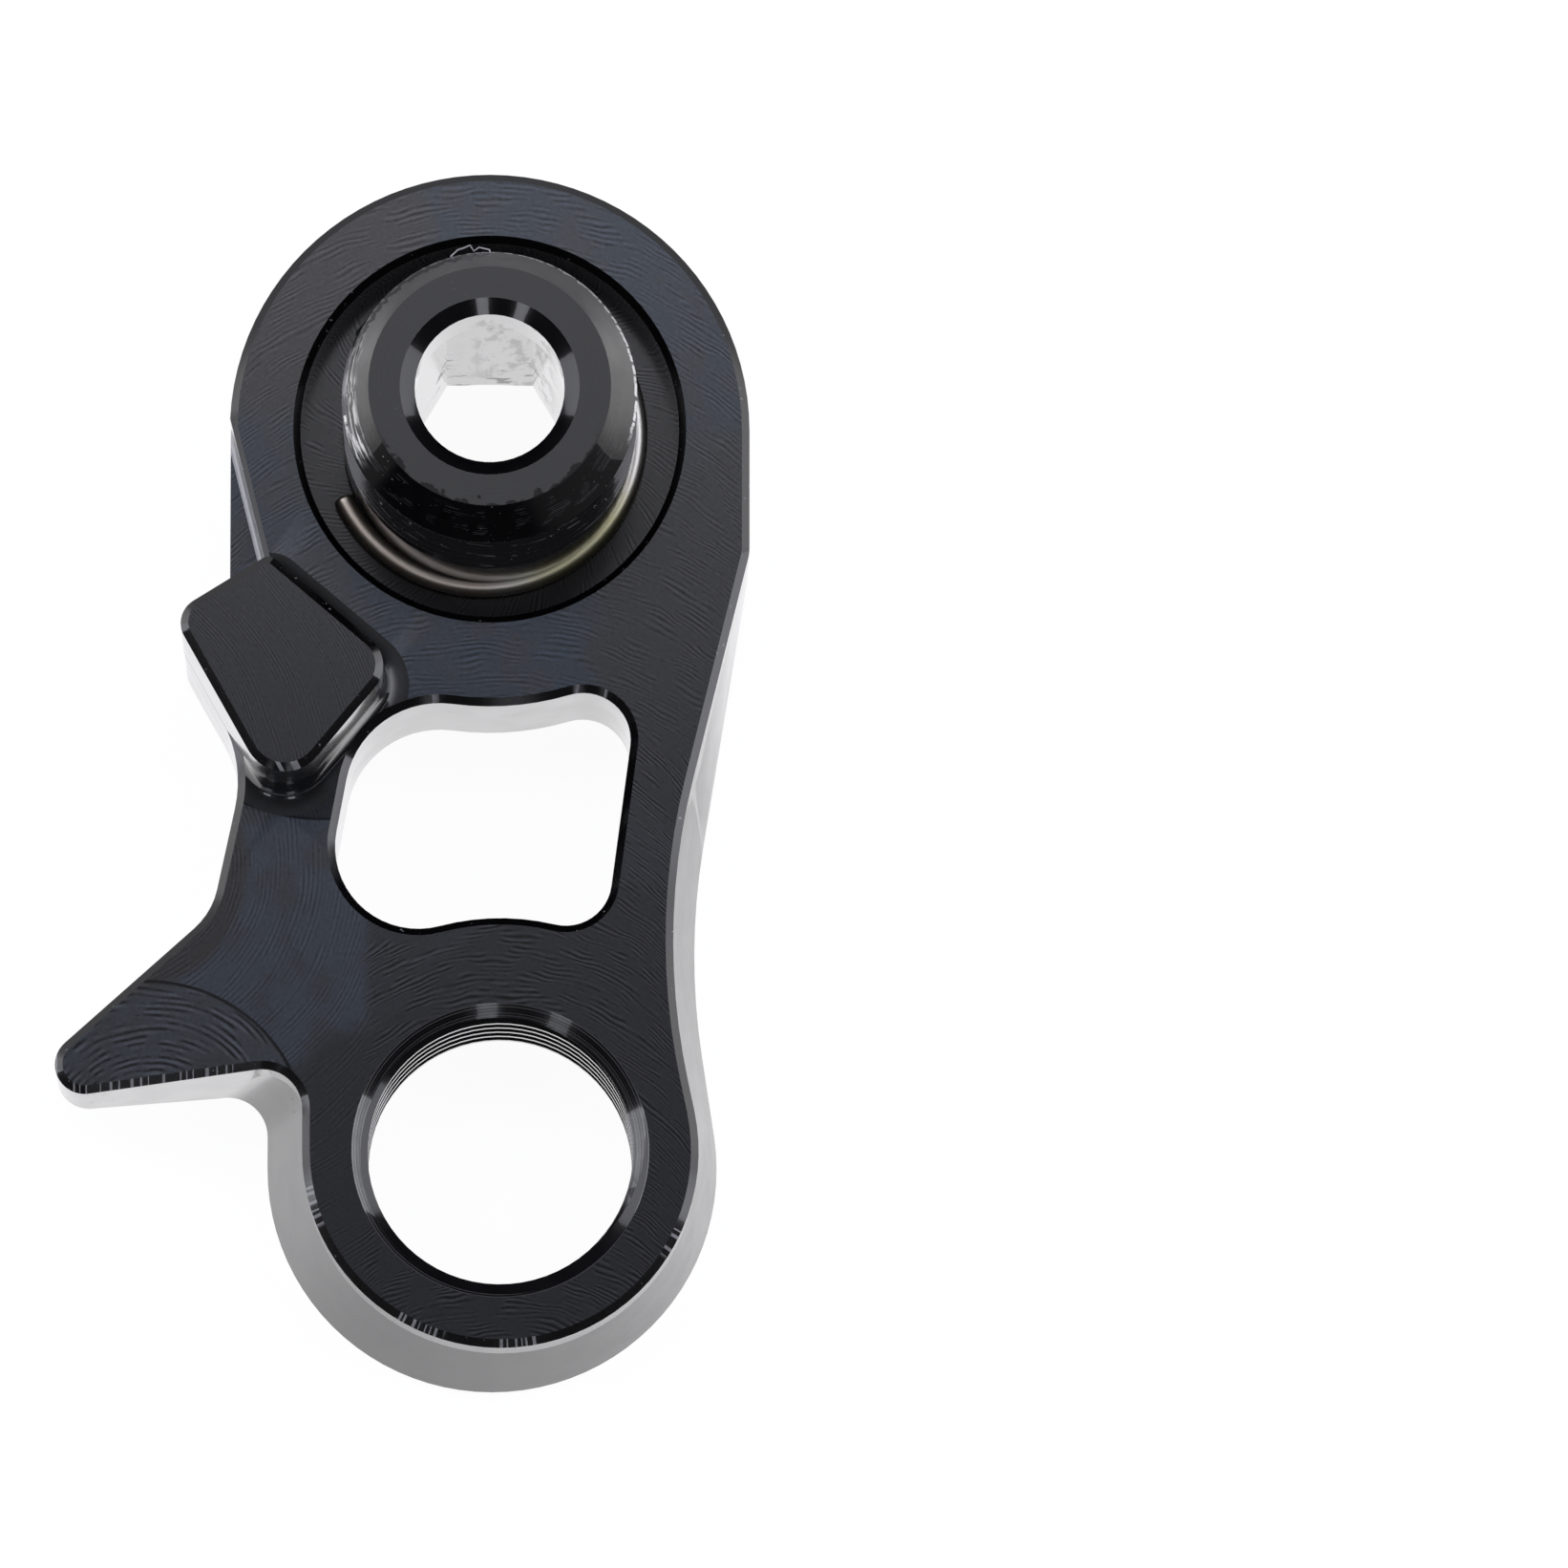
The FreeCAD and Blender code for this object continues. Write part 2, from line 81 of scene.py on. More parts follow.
# Wire of the snap ring, which is sprung a little wide and so stands off centre
WIRE = (RING_HIGH.z - RING_LOW.z) / 2.0
RING_MAJOR = (RING_HIGH.y - RING_LOW.y) / 2.0 - WIRE
RING_CENTRE = Vector((RING_HIGH.x - WIRE - RING_MAJOR, (RING_LOW.y + RING_HIGH.y) / 2.0, RING_LOW.z + WIRE))
RING_GAP = (math.radians(142.0), math.radians(204.5))
RING_STEPS = 120
WIRE_SIDES = 20
WIRE_END_ROUND = 0.16
WIRE_END_STEPS = 4
WIRE_END_ANGLE = math.radians(60.0)

# Curl of metal that the die left on the rim of the nose, as x and y
BURR_CURL = (
    (-1.32, 4.7), (-1.08, 4.94), (-0.89, 5.0), (-0.67, 5.1),
    (-0.54, 4.9), (-0.37, 5.03), (-0.02, 4.95), (0.02, 4.7),
)
BURR_HEIGHT = 6.4
BURR_RADIUS = 0.03

# Chamfer at the mouth of the hex socket, at the back
SOCKET_MOUTH = 2.95
SOCKET_CHAMFER = 0.6
SOCKET_CUTTER_MARGIN = 0.2
SOCKET_CUTTER_SIDES = 96

# Where one surface of a machined piece ends and the next begins
RECESS_RADIUS = 6.5
RECESS_TOP = FRONT - 1.0
BORE_RADIUS = 3.5
NOSE_CONE = 2.0
# where the cone's painted shade begins, as a share of the radius
PAINTED_SHADE_FROM = -0.45
FOOT_TOP = 1.0
LEDGE_CORNER_TOP = -2.25
LEDGE_END = -9.0
SEAM_HEIGHT = -0.25
EYE_THREAD_RADIUS = EYE_MAJOR + 0.02
WELD = 0.001

# How far a surface leans, as the upward part of its normal
LEVEL = 0.999
DOWNWARD = -0.99
CHAMFER_LEAN = 0.4
FILLET_LEAN = 0.05
FLARE_LEAN = 0.08
UPRIGHT_LEAN = (0.17, 0.05)
EYE_SINK_LEAN = (0.5, 0.8)
BORE_LEAN = 0.9
BOLT_SINK_LEAN = 0.3
NOSE_END_LEAN = 0.99
NOSE_CONE_LEAN = (0.2, 0.6)
THREAD_LEAN = 0.5

# Which edges between surfaces stay smooth
SHARP_ANGLE = math.radians(22.0)
FLOWING = ({"front", "foot"}, {"cone", "painted_shade_cone"}, {"wall", "flare"})
CREASE = {"wall", "flare"}
CREASE_ANGLE = math.radians(5.0)
CREASE_RISE = 0.1

# Milling marks on the front: centres of the cutter, and patches of tone as x, y, radius and softness
NECK_CUTTER = (-12.7, -14.9, 0.0)
BLOCK_CUTTER = (-16.0, -13.5, 0.0)
CLAW_CUTTER = (-11.49, -24.34, 0.0)
CLAW_CUTTER_RADIUS = 5.52
FOOT_CUTTER = (-5.63, -6.84, 0.0)
FOOT_CUTTER_RADIUS = 6.57
FOOT_CUTTER_Y = (-12.3, -12.6)
CUTTER_EDGE = 0.03
TOOL_LINE = 0.08
BROWN_PATCHES = (
    (-7.5, 6.0, 5.6, 0.5),
    (-12.7, -14.9, 4.6, 0.25),
)
PLAIN_PATCHES = (
    (12.0, -8.0, 8.6, 0.8),
    (4.6, -24.6, 9.4, 0.6),
    (1.5, -29.0, 8.6, 0.8),
    (-4.2, -23.0, 2.6, 0.6),
)

# Groups of chatter ticks on the chamfers, whose glints are painted in pale grey, as x, y and radius
TICK_SPOTS = (
    (-2.33, -30.47, 0.9),
    (0.93, -31.06, 0.75),
    (6.19, -27.58, 0.6),
    (-5.8, -26.48, 0.7),
    (2.52, -20.27, 0.6),
    (5.08, -23.42, 0.4),
    (4.66, -26.83, 0.6),
    (-0.41, -19.85, 0.4),
    (-2.1, -9.1, 0.4),
    (3.6, -8.9, 0.7),
    (-6.9, -12.9, 1.0),
)
TICK_SOFTNESS = 0.12
CLAW_TICKS_PER_MM = 2.8

# Soft edges where a finish on the link changes, or where its painted shade starts: the places where the
# change starts and where it is complete
LOWER_HALF_Y = (-9.5, -11.5)
LEFT_OF_WINDOW_X = (-3.8, -4.4)
SEAM_WIDTH = (0.15, 0.09)
SEAM_X = (-8.3, -8.6)
SEAM_Y = (-11.5, -11.0)
CLAW_EDGE_X = (-8.1, -8.6)
CLAW_EDGE_Y = (-21.3, -21.5)
LEDGE_X = (-7.0, -7.4)
LEDGE_TOP_Y = (0.8, 0.2)
LEDGE_FOOT_Y = (-6.0, -5.5)
LEDGE_Z = (0.5, 0.2)
FOOT_Z = (0.06, 0.3)
# where the painted shade on the flare under the eye begins
SHADE_UNDER_EYE_Y = (EYE.y - 2.0, EYE.y - 6.0)
# where the painted shade at the top of the eye's countersinks begins
EYE_TOP_SHADE_Y = (EYE.y + 2.6, EYE.y + 3.4)

# The same on the bolt and the ring, where a turn is an angle about the axis
SCRAPE_X = (-3.5, -4.2)
SCRAPE_START_Y = (-2.6, -1.8)
SCRAPE_END_Y = (2.4, 0.4)
SCRAPE_FOOT_Z = (5.6, 6.0)
SCRAPE_TOP_Z = (7.5, 6.9)
LIP_Y = (-1.8, -0.8)
LIP_FOOT_Z = (6.04, 6.08)
LIP_TOP_Z = (6.28, 6.22)
SPECKED_Y = (0.5, -1.5)
TORN_START_TURN = (1.6, 1.9)
TORN_END_TURN = (3.05, 2.85)
TORN_FOOT_Z = (6.1, 6.16)
TORN_TOP_Z = (6.56, 6.46)
# upper side of the cone, where its sheen is painted
PAINTED_SHEEN_CONE_Y = (-2.4, -0.6)
CHIPPED_RADIUS = (4.46, 4.5)
CHIPPED_Y = (-1.2, -2.4)
SMEARED_X = (-1.6, 0.2)
STREAKED_Z = (1.5, -1.5)
DARK_BORE_Y = (0.8, 1.9)
BROWN_TURN = (-1.2, -1.7)
OLIVE_START_TURN = (-1.5, -1.1)
OLIVE_END_TURN = (-0.2, -0.6)

# Colours of the anodised finishes and of bare metal, with the greys of painted highlights, glints and sheen
BLUE_BLACK = (0.010, 0.0245, 0.047, 1.0)
PALE_BLUE_BLACK = (0.037, 0.0475, 0.066, 1.0)
BROWN_BLACK = (0.027, 0.0255, 0.0275, 1.0)
CLAW_BLACK = (0.036, 0.04, 0.046, 1.0)
PLAIN_BLACK = (0.0158, 0.0168, 0.0205, 1.0)
BLOCK_BLACK = (0.013, 0.0135, 0.017, 1.0)
RECESS_BLACK = (0.004, 0.004, 0.005, 1.0)
DEEP_BLACK = (0.0026, 0.0026, 0.0032, 1.0)
SOOT = (0.006, 0.006, 0.0072, 1.0)
END_BLACK = (0.011, 0.011, 0.0112, 1.0)
PALE_END_BLACK = (0.018, 0.018, 0.0185, 1.0)
NICK_GREY = (0.12, 0.12, 0.13, 1.0)
END_NICK_GREY = (0.1, 0.1, 0.1, 1.0)
# grey of the eye's turning rings, a painted sheen
TURNED_RING_SHEEN_GREY = (0.11, 0.11, 0.115, 1.0)
# pale grey of the chatter ticks, a painted glint on real tool marks
TICK_GLINT_GREY = (0.45, 0.45, 0.48, 1.0)
# pale greys painted on the ledge's inside corner as a highlight
LEDGE_HIGHLIGHT_GREY = (0.2, 0.2, 0.21, 1.0)
PALE_LEDGE_HIGHLIGHT_GREY = (0.5, 0.5, 0.52, 1.0)
BURR_GREY = (0.45, 0.45, 0.46, 1.0)
BARE_METAL = (0.78, 0.78, 0.79, 1.0)
WIRE_SILVER = (0.9, 0.88, 0.83, 1.0)
WIRE_BROWN = (0.72, 0.62, 0.52, 1.0)
WIRE_OLIVE = (0.74, 0.7, 0.42, 1.0)

# Studio: paper floor, sky, lamps and camera, with places in millimetres
FLOOR_GAP = 0.02
FLOOR_REACH = 3000.0
NEAR_HEAD = (130.0, 90.0)
BEHIND_HEAD_Y = (8.0, 14.0)
PAPER = (0.8, 0.8, 0.8, 1.0)
PAPER_SHADE = (0.13, 0.13, 0.13, 1.0)
PAPER_WHITE = (0.95, 0.95, 0.95, 1.0)
MIRRORED_WHITE = (0.95, 0.945, 0.96, 1.0)
MIRRORED_GREY = (0.2, 0.2, 0.21, 1.0)
SKY_RISE = (0.3, 0.95)
LOW_SKY = (0.03, 0.03, 0.032, 1.0)
HIGH_SKY = (0.06, 0.06, 0.066, 1.0)
BACKDROP = (1.0, 1.0, 1.0, 1.0)
LAMP_COLOUR = (0.97, 0.978, 1.06)
LAMP_TARGET = Vector((0.0, EYE.y / 2.0, 0.0))
CAMERA_PLACE = Vector((0.5, -104.31, 589.84))
CAMERA_TURN = (math.radians(8.882), math.radians(-0.917), 0.0)
SENSOR_WIDTH = 36.0
FOCAL_LENGTH = 407.0


class Graph:
    """A node tree written as nested calls: each call adds one node and gives its output."""

    def __init__(self, tree):
        self.tree = tree

    def node(self, kind, inputs=(), **settings):
        made = self.tree.nodes.new(kind)
        for name, value in settings.items():
            setattr(made, name, value)
        pairs = inputs.items() if isinstance(inputs, dict) else enumerate(inputs)
        for key, value in pairs:
            self.fill(made.inputs[key], value)
        return made

    def fill(self, socket, value):
        if isinstance(value, bpy.types.NodeSocket):
            self.tree.links.new(value, socket)
        elif value is not None:
            socket.default_value = value

    def math(self, operation, *values):
        return self.node("ShaderNodeMath", values, operation=operation).outputs[0]

    def product(self, first, *others):
        for other in others:
            first = self.math("MULTIPLY", first, other)
        return first

    def most(self, first, *others):
        for other in others:
            first = self.math("MAXIMUM", first, other)
        return first

    def vector(self, operation, *values):
        made = self.node("ShaderNodeVectorMath", values, operation=operation)
        return made.outputs["Value" if operation in ("LENGTH", "DISTANCE") else "Vector"]

    def scale(self, vector, factor):
        return self.node("ShaderNodeVectorMath", {0: vector, "Scale": factor}, operation="SCALE").outputs[0]

    def axes(self, vector):
        return self.node("ShaderNodeSeparateXYZ", [vector]).outputs

    def step(self, value, low, high):
        """0 before low, 1 past high and a smooth change between. It falls where low is over high."""
        inputs = {"Value": value, "From Min": low, "From Max": high}
        return self.node("ShaderNodeMapRange", inputs, interpolation_type="SMOOTHSTEP").outputs[0]

    def span(self, value, low, high):
        """A value between 0 and 1 spread over the range from low to high."""
        return self.node("ShaderNodeMapRange", {"Value": value, "To Min": low, "To Max": high}).outputs[0]

    def noise(self, vector, scale, detail=2.0, roughness=0.5):
        inputs = {"Vector": vector, "Scale": scale, "Detail": detail, "Roughness": roughness}
        return self.node("ShaderNodeTexNoise", inputs).outputs[0]

    def line_noise(self, value, scale, detail=2.0, roughness=0.5):
        inputs = {"W": value, "Scale": scale, "Detail": detail, "Roughness": roughness}
        return self.node("ShaderNodeTexNoise", inputs, noise_dimensions="1D").outputs[0]

    def mix(self, factor, first, second):
        return self.node("ShaderNodeMix", {0: factor, 6: first, 7: second}, data_type="RGBA").outputs[2]

    def blend(self, factor, first, second):
        return self.node("ShaderNodeMix", {0: factor, 2: first, 3: second}, data_type="FLOAT").outputs[0]

    def millimetres(self):
        return self.scale(self.node("ShaderNodeTexCoord").outputs["Object"], 1.0 / MM)

    def bump(self, height, micrometres):
        inputs = {"Strength": 1.0, "Distance": micrometres * 1e-6, "Height": height}
        return self.node("ShaderNodeBump", inputs).outputs[0]

    def group(self, tree, **inputs):
        made = self.node("ShaderNodeGroup", node_tree=tree)
        for name, value in inputs.items():
            self.fill(made.inputs[name.title()], value)
        return made.outputs[0]


def new_group(name, output, **inputs):
    """A shader node group with the named inputs, vectors or numbers, and one number out."""
    tree = bpy.data.node_groups.new(name, "ShaderNodeTree")
    for label, value in inputs.items():
        kind = "NodeSocketFloat" if isinstance(value, float) else "NodeSocketVector"
        tree.interface.new_socket(label.title(), in_out="INPUT", socket_type=kind).default_value = value
    tree.interface.new_socket(output, in_out="OUTPUT", socket_type="NodeSocketFloat")
    graph = Graph(tree)
    sockets = graph.node("NodeGroupInput").outputs
    return tree, graph, [sockets[label.title()] for label in inputs]


def flat_offset(graph, place, centre):
    """Offset from an upright axis through the centre."""
    return graph.vector("MULTIPLY", graph.vector("SUBTRACT", place, centre), (1.0, 1.0, 0.0))


def turn_about(graph, place, centre):
    """Angle about an upright axis through the centre."""
    axes = graph.axes(graph.vector("SUBTRACT", place, centre))
    return graph.math("ARCTAN2", axes[1], axes[0])


def cutter_strokes(graph, along, across, pace, waver):
    """Ripples the given pace apart, which waver by a few of them and break off along their length."""
    grid = graph.node("ShaderNodeCombineXYZ", [along, graph.product(across, 0.5), 0.0]).outputs[0]
    drift = graph.product(graph.noise(grid, 0.9, 2.0), waver)
    beat = graph.math("ADD", graph.math("DIVIDE", along, pace), drift)
    ripple = graph.math("COSINE", graph.product(beat, 2.0 * math.pi))
    kept = graph.step(graph.noise(grid, 1.9, 2.0), 0.4, 0.62)
    return graph.math("MULTIPLY_ADD", graph.product(ripple, kept), 0.2, 0.5)


def make_feed_arcs():
    """Arcs that a milling cutter leaves as it feeds along Y through the centre."""
    tree, graph, (place, centre, cutter, pace, waver) = new_group(
        "feed_arcs", "Arcs", place=HEAD, centre=HEAD, cutter=5.0, pace=0.2, waver=3.0)
    axes = graph.axes(graph.vector("SUBTRACT", place, centre))
    inside = graph.math("SUBTRACT", graph.product(cutter, cutter), graph.product(axes[0], axes[0]))
    bow = graph.math("SQRT", graph.math("MAXIMUM", inside, 0.0))
    sway = graph.product(graph.noise(place, 0.5, 1.0), 0.5)
    along = graph.math("ADD", graph.math("SUBTRACT", axes[1], bow), sway)
    graph.node("NodeGroupOutput", [cutter_strokes(graph, along, axes[0], pace, waver)])
    return tree


def make_ring_arcs():
    """Arcs concentric about a centre, which a cutter leaves where it follows a round edge."""
    tree, graph, (place, centre, pace, waver) = new_group(
        "ring_arcs", "Arcs", place=HEAD, centre=HEAD, pace=0.2, waver=1.0)
    sway = graph.product(graph.noise(place, 0.3, 0.0), 0.4)
    reach = graph.math("ADD", graph.vector("LENGTH", flat_offset(graph, place, centre)), sway)
    across = graph.product(turn_about(graph, place, centre), 4.0)
    graph.node("NodeGroupOutput", [cutter_strokes(graph, reach, across, pace, waver)])
    return tree


def make_patch():
    """1 inside a circle and 0 outside it, with an uneven edge."""
    tree, graph, (place, centre, radius, softness) = new_group(
        "patch", "Patch", place=HEAD, centre=HEAD, radius=4.0, softness=0.5)
    sway = graph.product(graph.math("SUBTRACT", graph.noise(place, 0.6, 2.0), 0.5), softness, 2.0)
    reach = graph.math("ADD", graph.vector("LENGTH", flat_offset(graph, place, centre)), sway)
    outer = graph.math("ADD", radius, softness)
    inner = graph.math("SUBTRACT", radius, softness)
    graph.node("NodeGroupOutput", [graph.step(reach, outer, inner)])
    return tree


def make_chatter_ticks():
    """Short tool marks across an edge that runs round the centre: 1 on a mark."""
    tree, graph, (place, centre, radius, pace) = new_group(
        "chatter_ticks", "Ticks", place=HEAD, centre=HEAD, radius=7.0, pace=0.1)
    along = graph.product(turn_about(graph, place, centre), radius)
    marks = graph.line_noise(graph.math("DIVIDE", along, pace), 1.0, 1.0)
    graph.node("NodeGroupOutput", [graph.step(marks, 0.52, 0.6)])
    return tree


def make_specks():
    """Small specks where the finish is nicked, closer together in some places."""
    tree, graph, (place, fineness, cover) = new_group("specks", "Specks", place=HEAD, fineness=6.0, cover=0.7)
    crowding = graph.math("SUBTRACT", graph.noise(place, 0.5, 1.0), 0.5)
    level = graph.math("ADD", graph.noise(place, fineness, 2.0, 0.6), graph.product(crowding, 0.3))
    graph.node("NodeGroupOutput", [graph.step(level, cover, graph.math("ADD", cover, 0.04))])
    return tree


def make_scuffs():
    """Bare metal on the nose: scrapes where the thread starts, a ragged line on the rim, and specks."""
    tree, graph, (place,) = new_group("scuffs", "Bare", place=HEAD)
    axes = graph.axes(place)
    turn = turn_about(graph, place, HEAD)
    grain = graph.node("ShaderNodeCombineXYZ", [graph.product(turn, 4.5), graph.product(axes[2], 7.0), 0.0])
    streaks = graph.noise(grain.outputs[0], 1.0, 3.0, 0.6)
    start = graph.product(graph.step(axes[1], *SCRAPE_START_Y), graph.step(axes[1], *SCRAPE_END_Y))
    start = graph.product(start, graph.step(axes[2], *SCRAPE_FOOT_Z), graph.step(axes[2], *SCRAPE_TOP_Z))
    start = graph.product(start, graph.step(axes[0], *SCRAPE_X))
    scrapes = graph.product(graph.step(streaks, 0.46, 0.6), start, 0.9)
    ragged = graph.math("ADD", axes[2], graph.product(graph.line_noise(turn, 15.0, 3.0), -0.3))
    lip = graph.product(graph.step(ragged, *LIP_FOOT_Z), graph.step(ragged, *LIP_TOP_Z))
    lip = graph.product(lip, graph.step(axes[1], *LIP_Y))
    lip = graph.product(lip, graph.step(graph.line_noise(turn, 24.0), 0.36, 0.5))
    specked = graph.step(axes[1], *SPECKED_Y)
    specks = graph.product(graph.group(SPECKS, place=place, fineness=7.0, cover=0.73), specked)
    hairs = graph.product(graph.step(graph.line_noise(axes[2], 24.0, 1.0), 0.66, 0.72), specked)
    hairs = graph.product(hairs, graph.step(graph.noise(place, 1.4), 0.52, 0.6), 0.15)
    graph.node("NodeGroupOutput", [graph.most(scrapes, lip, graph.product(specks, 0.5), hairs)])
    return tree


FEED_ARCS = make_feed_arcs()
RING_ARCS = make_ring_arcs()
PATCH = make_patch()
CHATTER_TICKS = make_chatter_ticks()
SPECKS = make_specks()
SCUFFS = make_scuffs()


def new_material(name):
    """A material with its node graph and its shader."""
    made = bpy.data.materials.new(name)
    made.use_nodes = True
    return made, Graph(made.node_tree), made.node_tree.nodes["Principled BSDF"]


def finish(graph, shader, **values):
    """Sets or links the named inputs of a material's shader."""
    for name, value in values.items():
        graph.fill(shader.inputs[name.replace("_", " ").title()], value)


def anodise(shader, ior, coat_ior, coat_roughness):
    """The dyed layer and the sealed skin over it."""
    shader.inputs["IOR"].default_value = ior
    shader.inputs["Coat Weight"].default_value = 1.0
    shader.inputs["Coat IOR"].default_value = coat_ior
    shader.inputs["Coat Roughness"].default_value = coat_roughness


def patches(graph, place, spots):
    """1 inside any of the given round patches."""
    cover = 0.0
    for x, y, radius, softness in spots:
        patch = graph.group(PATCH, place=place, centre=(x, y, 0.0), radius=radius, softness=softness)
        cover = graph.most(cover, patch)
    return cover


def cutter_marks(graph, shader, place, tint, arcs, gloss, strength):
    """Finish of a milled face: its tint and gloss, changed by the strokes of the cutter."""
    breaks = graph.product(graph.span(graph.noise(place, 0.9, 2.0), 0.0, 3.0), strength)
    grain = graph.product(graph.math("SUBTRACT", graph.noise(place, 8.0, 2.0), 0.5), 0.9)
    strokes = graph.math("ADD", graph.product(graph.math("SUBTRACT", arcs, 0.5), breaks), grain)
    shade = graph.math("MAXIMUM", graph.math("ADD", graph.product(strokes, 1.1), 1.0), 0.2)
    nicks = graph.group(SPECKS, place=place, fineness=5.0, cover=0.79)
    sheen = graph.product(graph.math("ADD", graph.product(strokes, 0.7), 0.78), gloss)
    anodise(shader, ior=1.4, coat_ior=1.6, coat_roughness=0.17)
    finish(graph, shader, base_color=graph.mix(nicks, graph.scale(tint, shade), NICK_GREY))
    finish(graph, shader, roughness=graph.span(arcs, 0.22, 0.34))
    finish(graph, shader, coat_weight=sheen, normal=graph.bump(strokes, 0.6))


def front_arcs(graph, place, low, left, in_claw):
    """The cutter's arcs on the front, which run another way on the head, the eye, the neck and the claw."""
    head_arcs = graph.group(FEED_ARCS, place=place, centre=HEAD, cutter=13.0, pace=0.18, waver=3.0)
    eye_arcs = graph.group(FEED_ARCS, place=place, centre=EYE, cutter=7.9, pace=0.17, waver=3.5)
    neck_arcs = graph.group(RING_ARCS, place=place, centre=NECK_CUTTER, pace=0.15, waver=1.6)
    claw_arcs = graph.group(RING_ARCS, place=place, centre=CLAW_CUTTER, pace=0.24, waver=1.2)
    arcs = graph.blend(low, head_arcs, eye_arcs)
    arcs = graph.blend(left, arcs, neck_arcs)
    return graph.blend(in_claw, arcs, claw_arcs)


def front_tint(graph, place, low, left, in_claw):
    """The front's blue-black, with patches of browner and plainer black."""
    mottle = graph.product(graph.step(graph.noise(place, 0.5, 3.0), 0.46, 0.62), 0.5)
    brown = graph.most(patches(graph, place, BROWN_PATCHES), mottle)
    middle = graph.product(low, graph.math("SUBTRACT", 1.0, left), 0.8)
    plain = graph.most(patches(graph, place, PLAIN_PATCHES), middle)
    blue = graph.mix(low, BLUE_BLACK, PALE_BLUE_BLACK)
    blue = graph.mix(graph.product(in_claw, 0.6), blue, CLAW_BLACK)
    return graph.mix(plain, graph.mix(brown, blue, BROWN_BLACK), PLAIN_BLACK)


def round_cut(graph, place, centre, radius):
    """Two masks of a round cut: all that lies in it, and the fine line inside its edge."""
    reach = graph.vector("LENGTH", flat_offset(graph, place, centre))
    inside = graph.step(reach, radius, radius - CUTTER_EDGE)
    line = graph.step(reach, radius - 2.0 * TOOL_LINE, radius - TOOL_LINE)
    return inside, line


def milled_face():
    """Front of the link: anodised over the cutter's marks, and darker in the cut below the block's foot."""
    made, graph, shader = new_material("milled_face")
    place = graph.millimetres()
    axes = graph.axes(place)
    low = graph.step(axes[1], *LOWER_HALF_Y)
    left = graph.product(low, graph.step(axes[0], *LEFT_OF_WINDOW_X))
    claw_cut, claw_line = round_cut(graph, place, CLAW_CUTTER, CLAW_CUTTER_RADIUS)
    foot_cut, foot_line = round_cut(graph, place, FOOT_CUTTER, FOOT_CUTTER_RADIUS)
    in_claw = graph.product(claw_cut, left)
    in_foot = graph.product(foot_cut, left, graph.step(axes[1], *FOOT_CUTTER_Y))
    tool_lines = graph.most(graph.product(claw_line, in_claw), graph.product(foot_line, in_foot))
    dark = graph.most(tool_lines, graph.product(in_foot, 0.7))
    tint = graph.scale(front_tint(graph, place, low, left, in_claw), graph.span(dark, 1.0, 0.1))
    gloss = graph.math("SUBTRACT", graph.span(in_foot, 1.0, 0.5), tool_lines)
    strength = graph.blend(left, graph.span(low, 1.7, 3.0), graph.span(in_claw, 1.0, 3.0))
    arcs = front_arcs(graph, place, low, left, in_claw)
    cutter_marks(graph, shader, place, tint, arcs, gloss, strength)
    return made


def block_face():
    """Top of the stop block, and the back: neutral black with fine slanted arcs."""
    made, graph, shader = new_material("block_face")
    place = graph.millimetres()
    arcs = graph.group(RING_ARCS, place=place, centre=BLOCK_CUTTER, pace=0.11, waver=1.6)
    tint = graph.mix(graph.noise(place, 0.8), BLOCK_BLACK, PLAIN_BLACK)
    cutter_marks(graph, shader, place, tint, arcs, gloss=1.0, strength=1.2)
    return made


def recess_floor():
    """Floor of the ring's recess, with marks that run across it like spokes."""
    made, graph, shader = new_material("recess_floor")
    place = graph.millimetres()
    reach = graph.vector("LENGTH", flat_offset(graph, place, HEAD))
    spokes = graph.math("ADD", graph.product(turn_about(graph, place, HEAD), 5.7), graph.product(reach, 0.5))
    arcs = cutter_strokes(graph, spokes, reach, pace=0.16, waver=3.0)
    tint = graph.mix(graph.noise(place, 0.8), RECESS_BLACK, SOOT)
    cutter_marks(graph, shader, place, tint, arcs, gloss=1.0, strength=2.2)
    return made


def cut_wall():
    """Side walls: smooth black that mirrors the pale floor, glossy where upright, duller where flared, and
    with painted shade under the eye, where the flare's sheen is cut further.
    """
    made, graph, shader = new_material("cut_wall")
    place = graph.millimetres()
    axes = graph.axes(place)
    facing = graph.axes(graph.node("ShaderNodeTexCoord").outputs["Normal"])[2]
    smudge = graph.noise(place, 0.7, 4.0)
    nicks = graph.group(SPECKS, place=place, fineness=4.0, cover=0.74)
    gloss = graph.math("SUBTRACT", graph.span(smudge, 1.0, 0.86), graph.product(nicks, 0.5))
    off_seam = graph.math("ABSOLUTE", graph.math("SUBTRACT", axes[2], SEAM_HEIGHT))
    seam = graph.product(graph.step(off_seam, *SEAM_WIDTH), graph.step(axes[0], *SEAM_X))
    seam = graph.product(seam, graph.step(axes[1], *SEAM_Y))
    # painted shade: under the eye the flare's sheen is cut to about half
    flare_sheen_with_shade = graph.span(graph.step(axes[1], *SHADE_UNDER_EYE_Y), 0.62, 0.34)
    by_lean = graph.blend(graph.step(facing, *UPRIGHT_LEAN), flare_sheen_with_shade, 1.0)
    anodise(shader, ior=1.44, coat_ior=2.2, coat_roughness=0.08)
    finish(graph, shader, base_color=graph.mix(smudge, DEEP_BLACK, PLAIN_BLACK))
    finish(graph, shader, roughness=graph.span(smudge, 0.16, 0.3))
    finish(graph, shader, coat_weight=graph.product(gloss, graph.span(seam, 1.0, 0.0), by_lean))
    return made


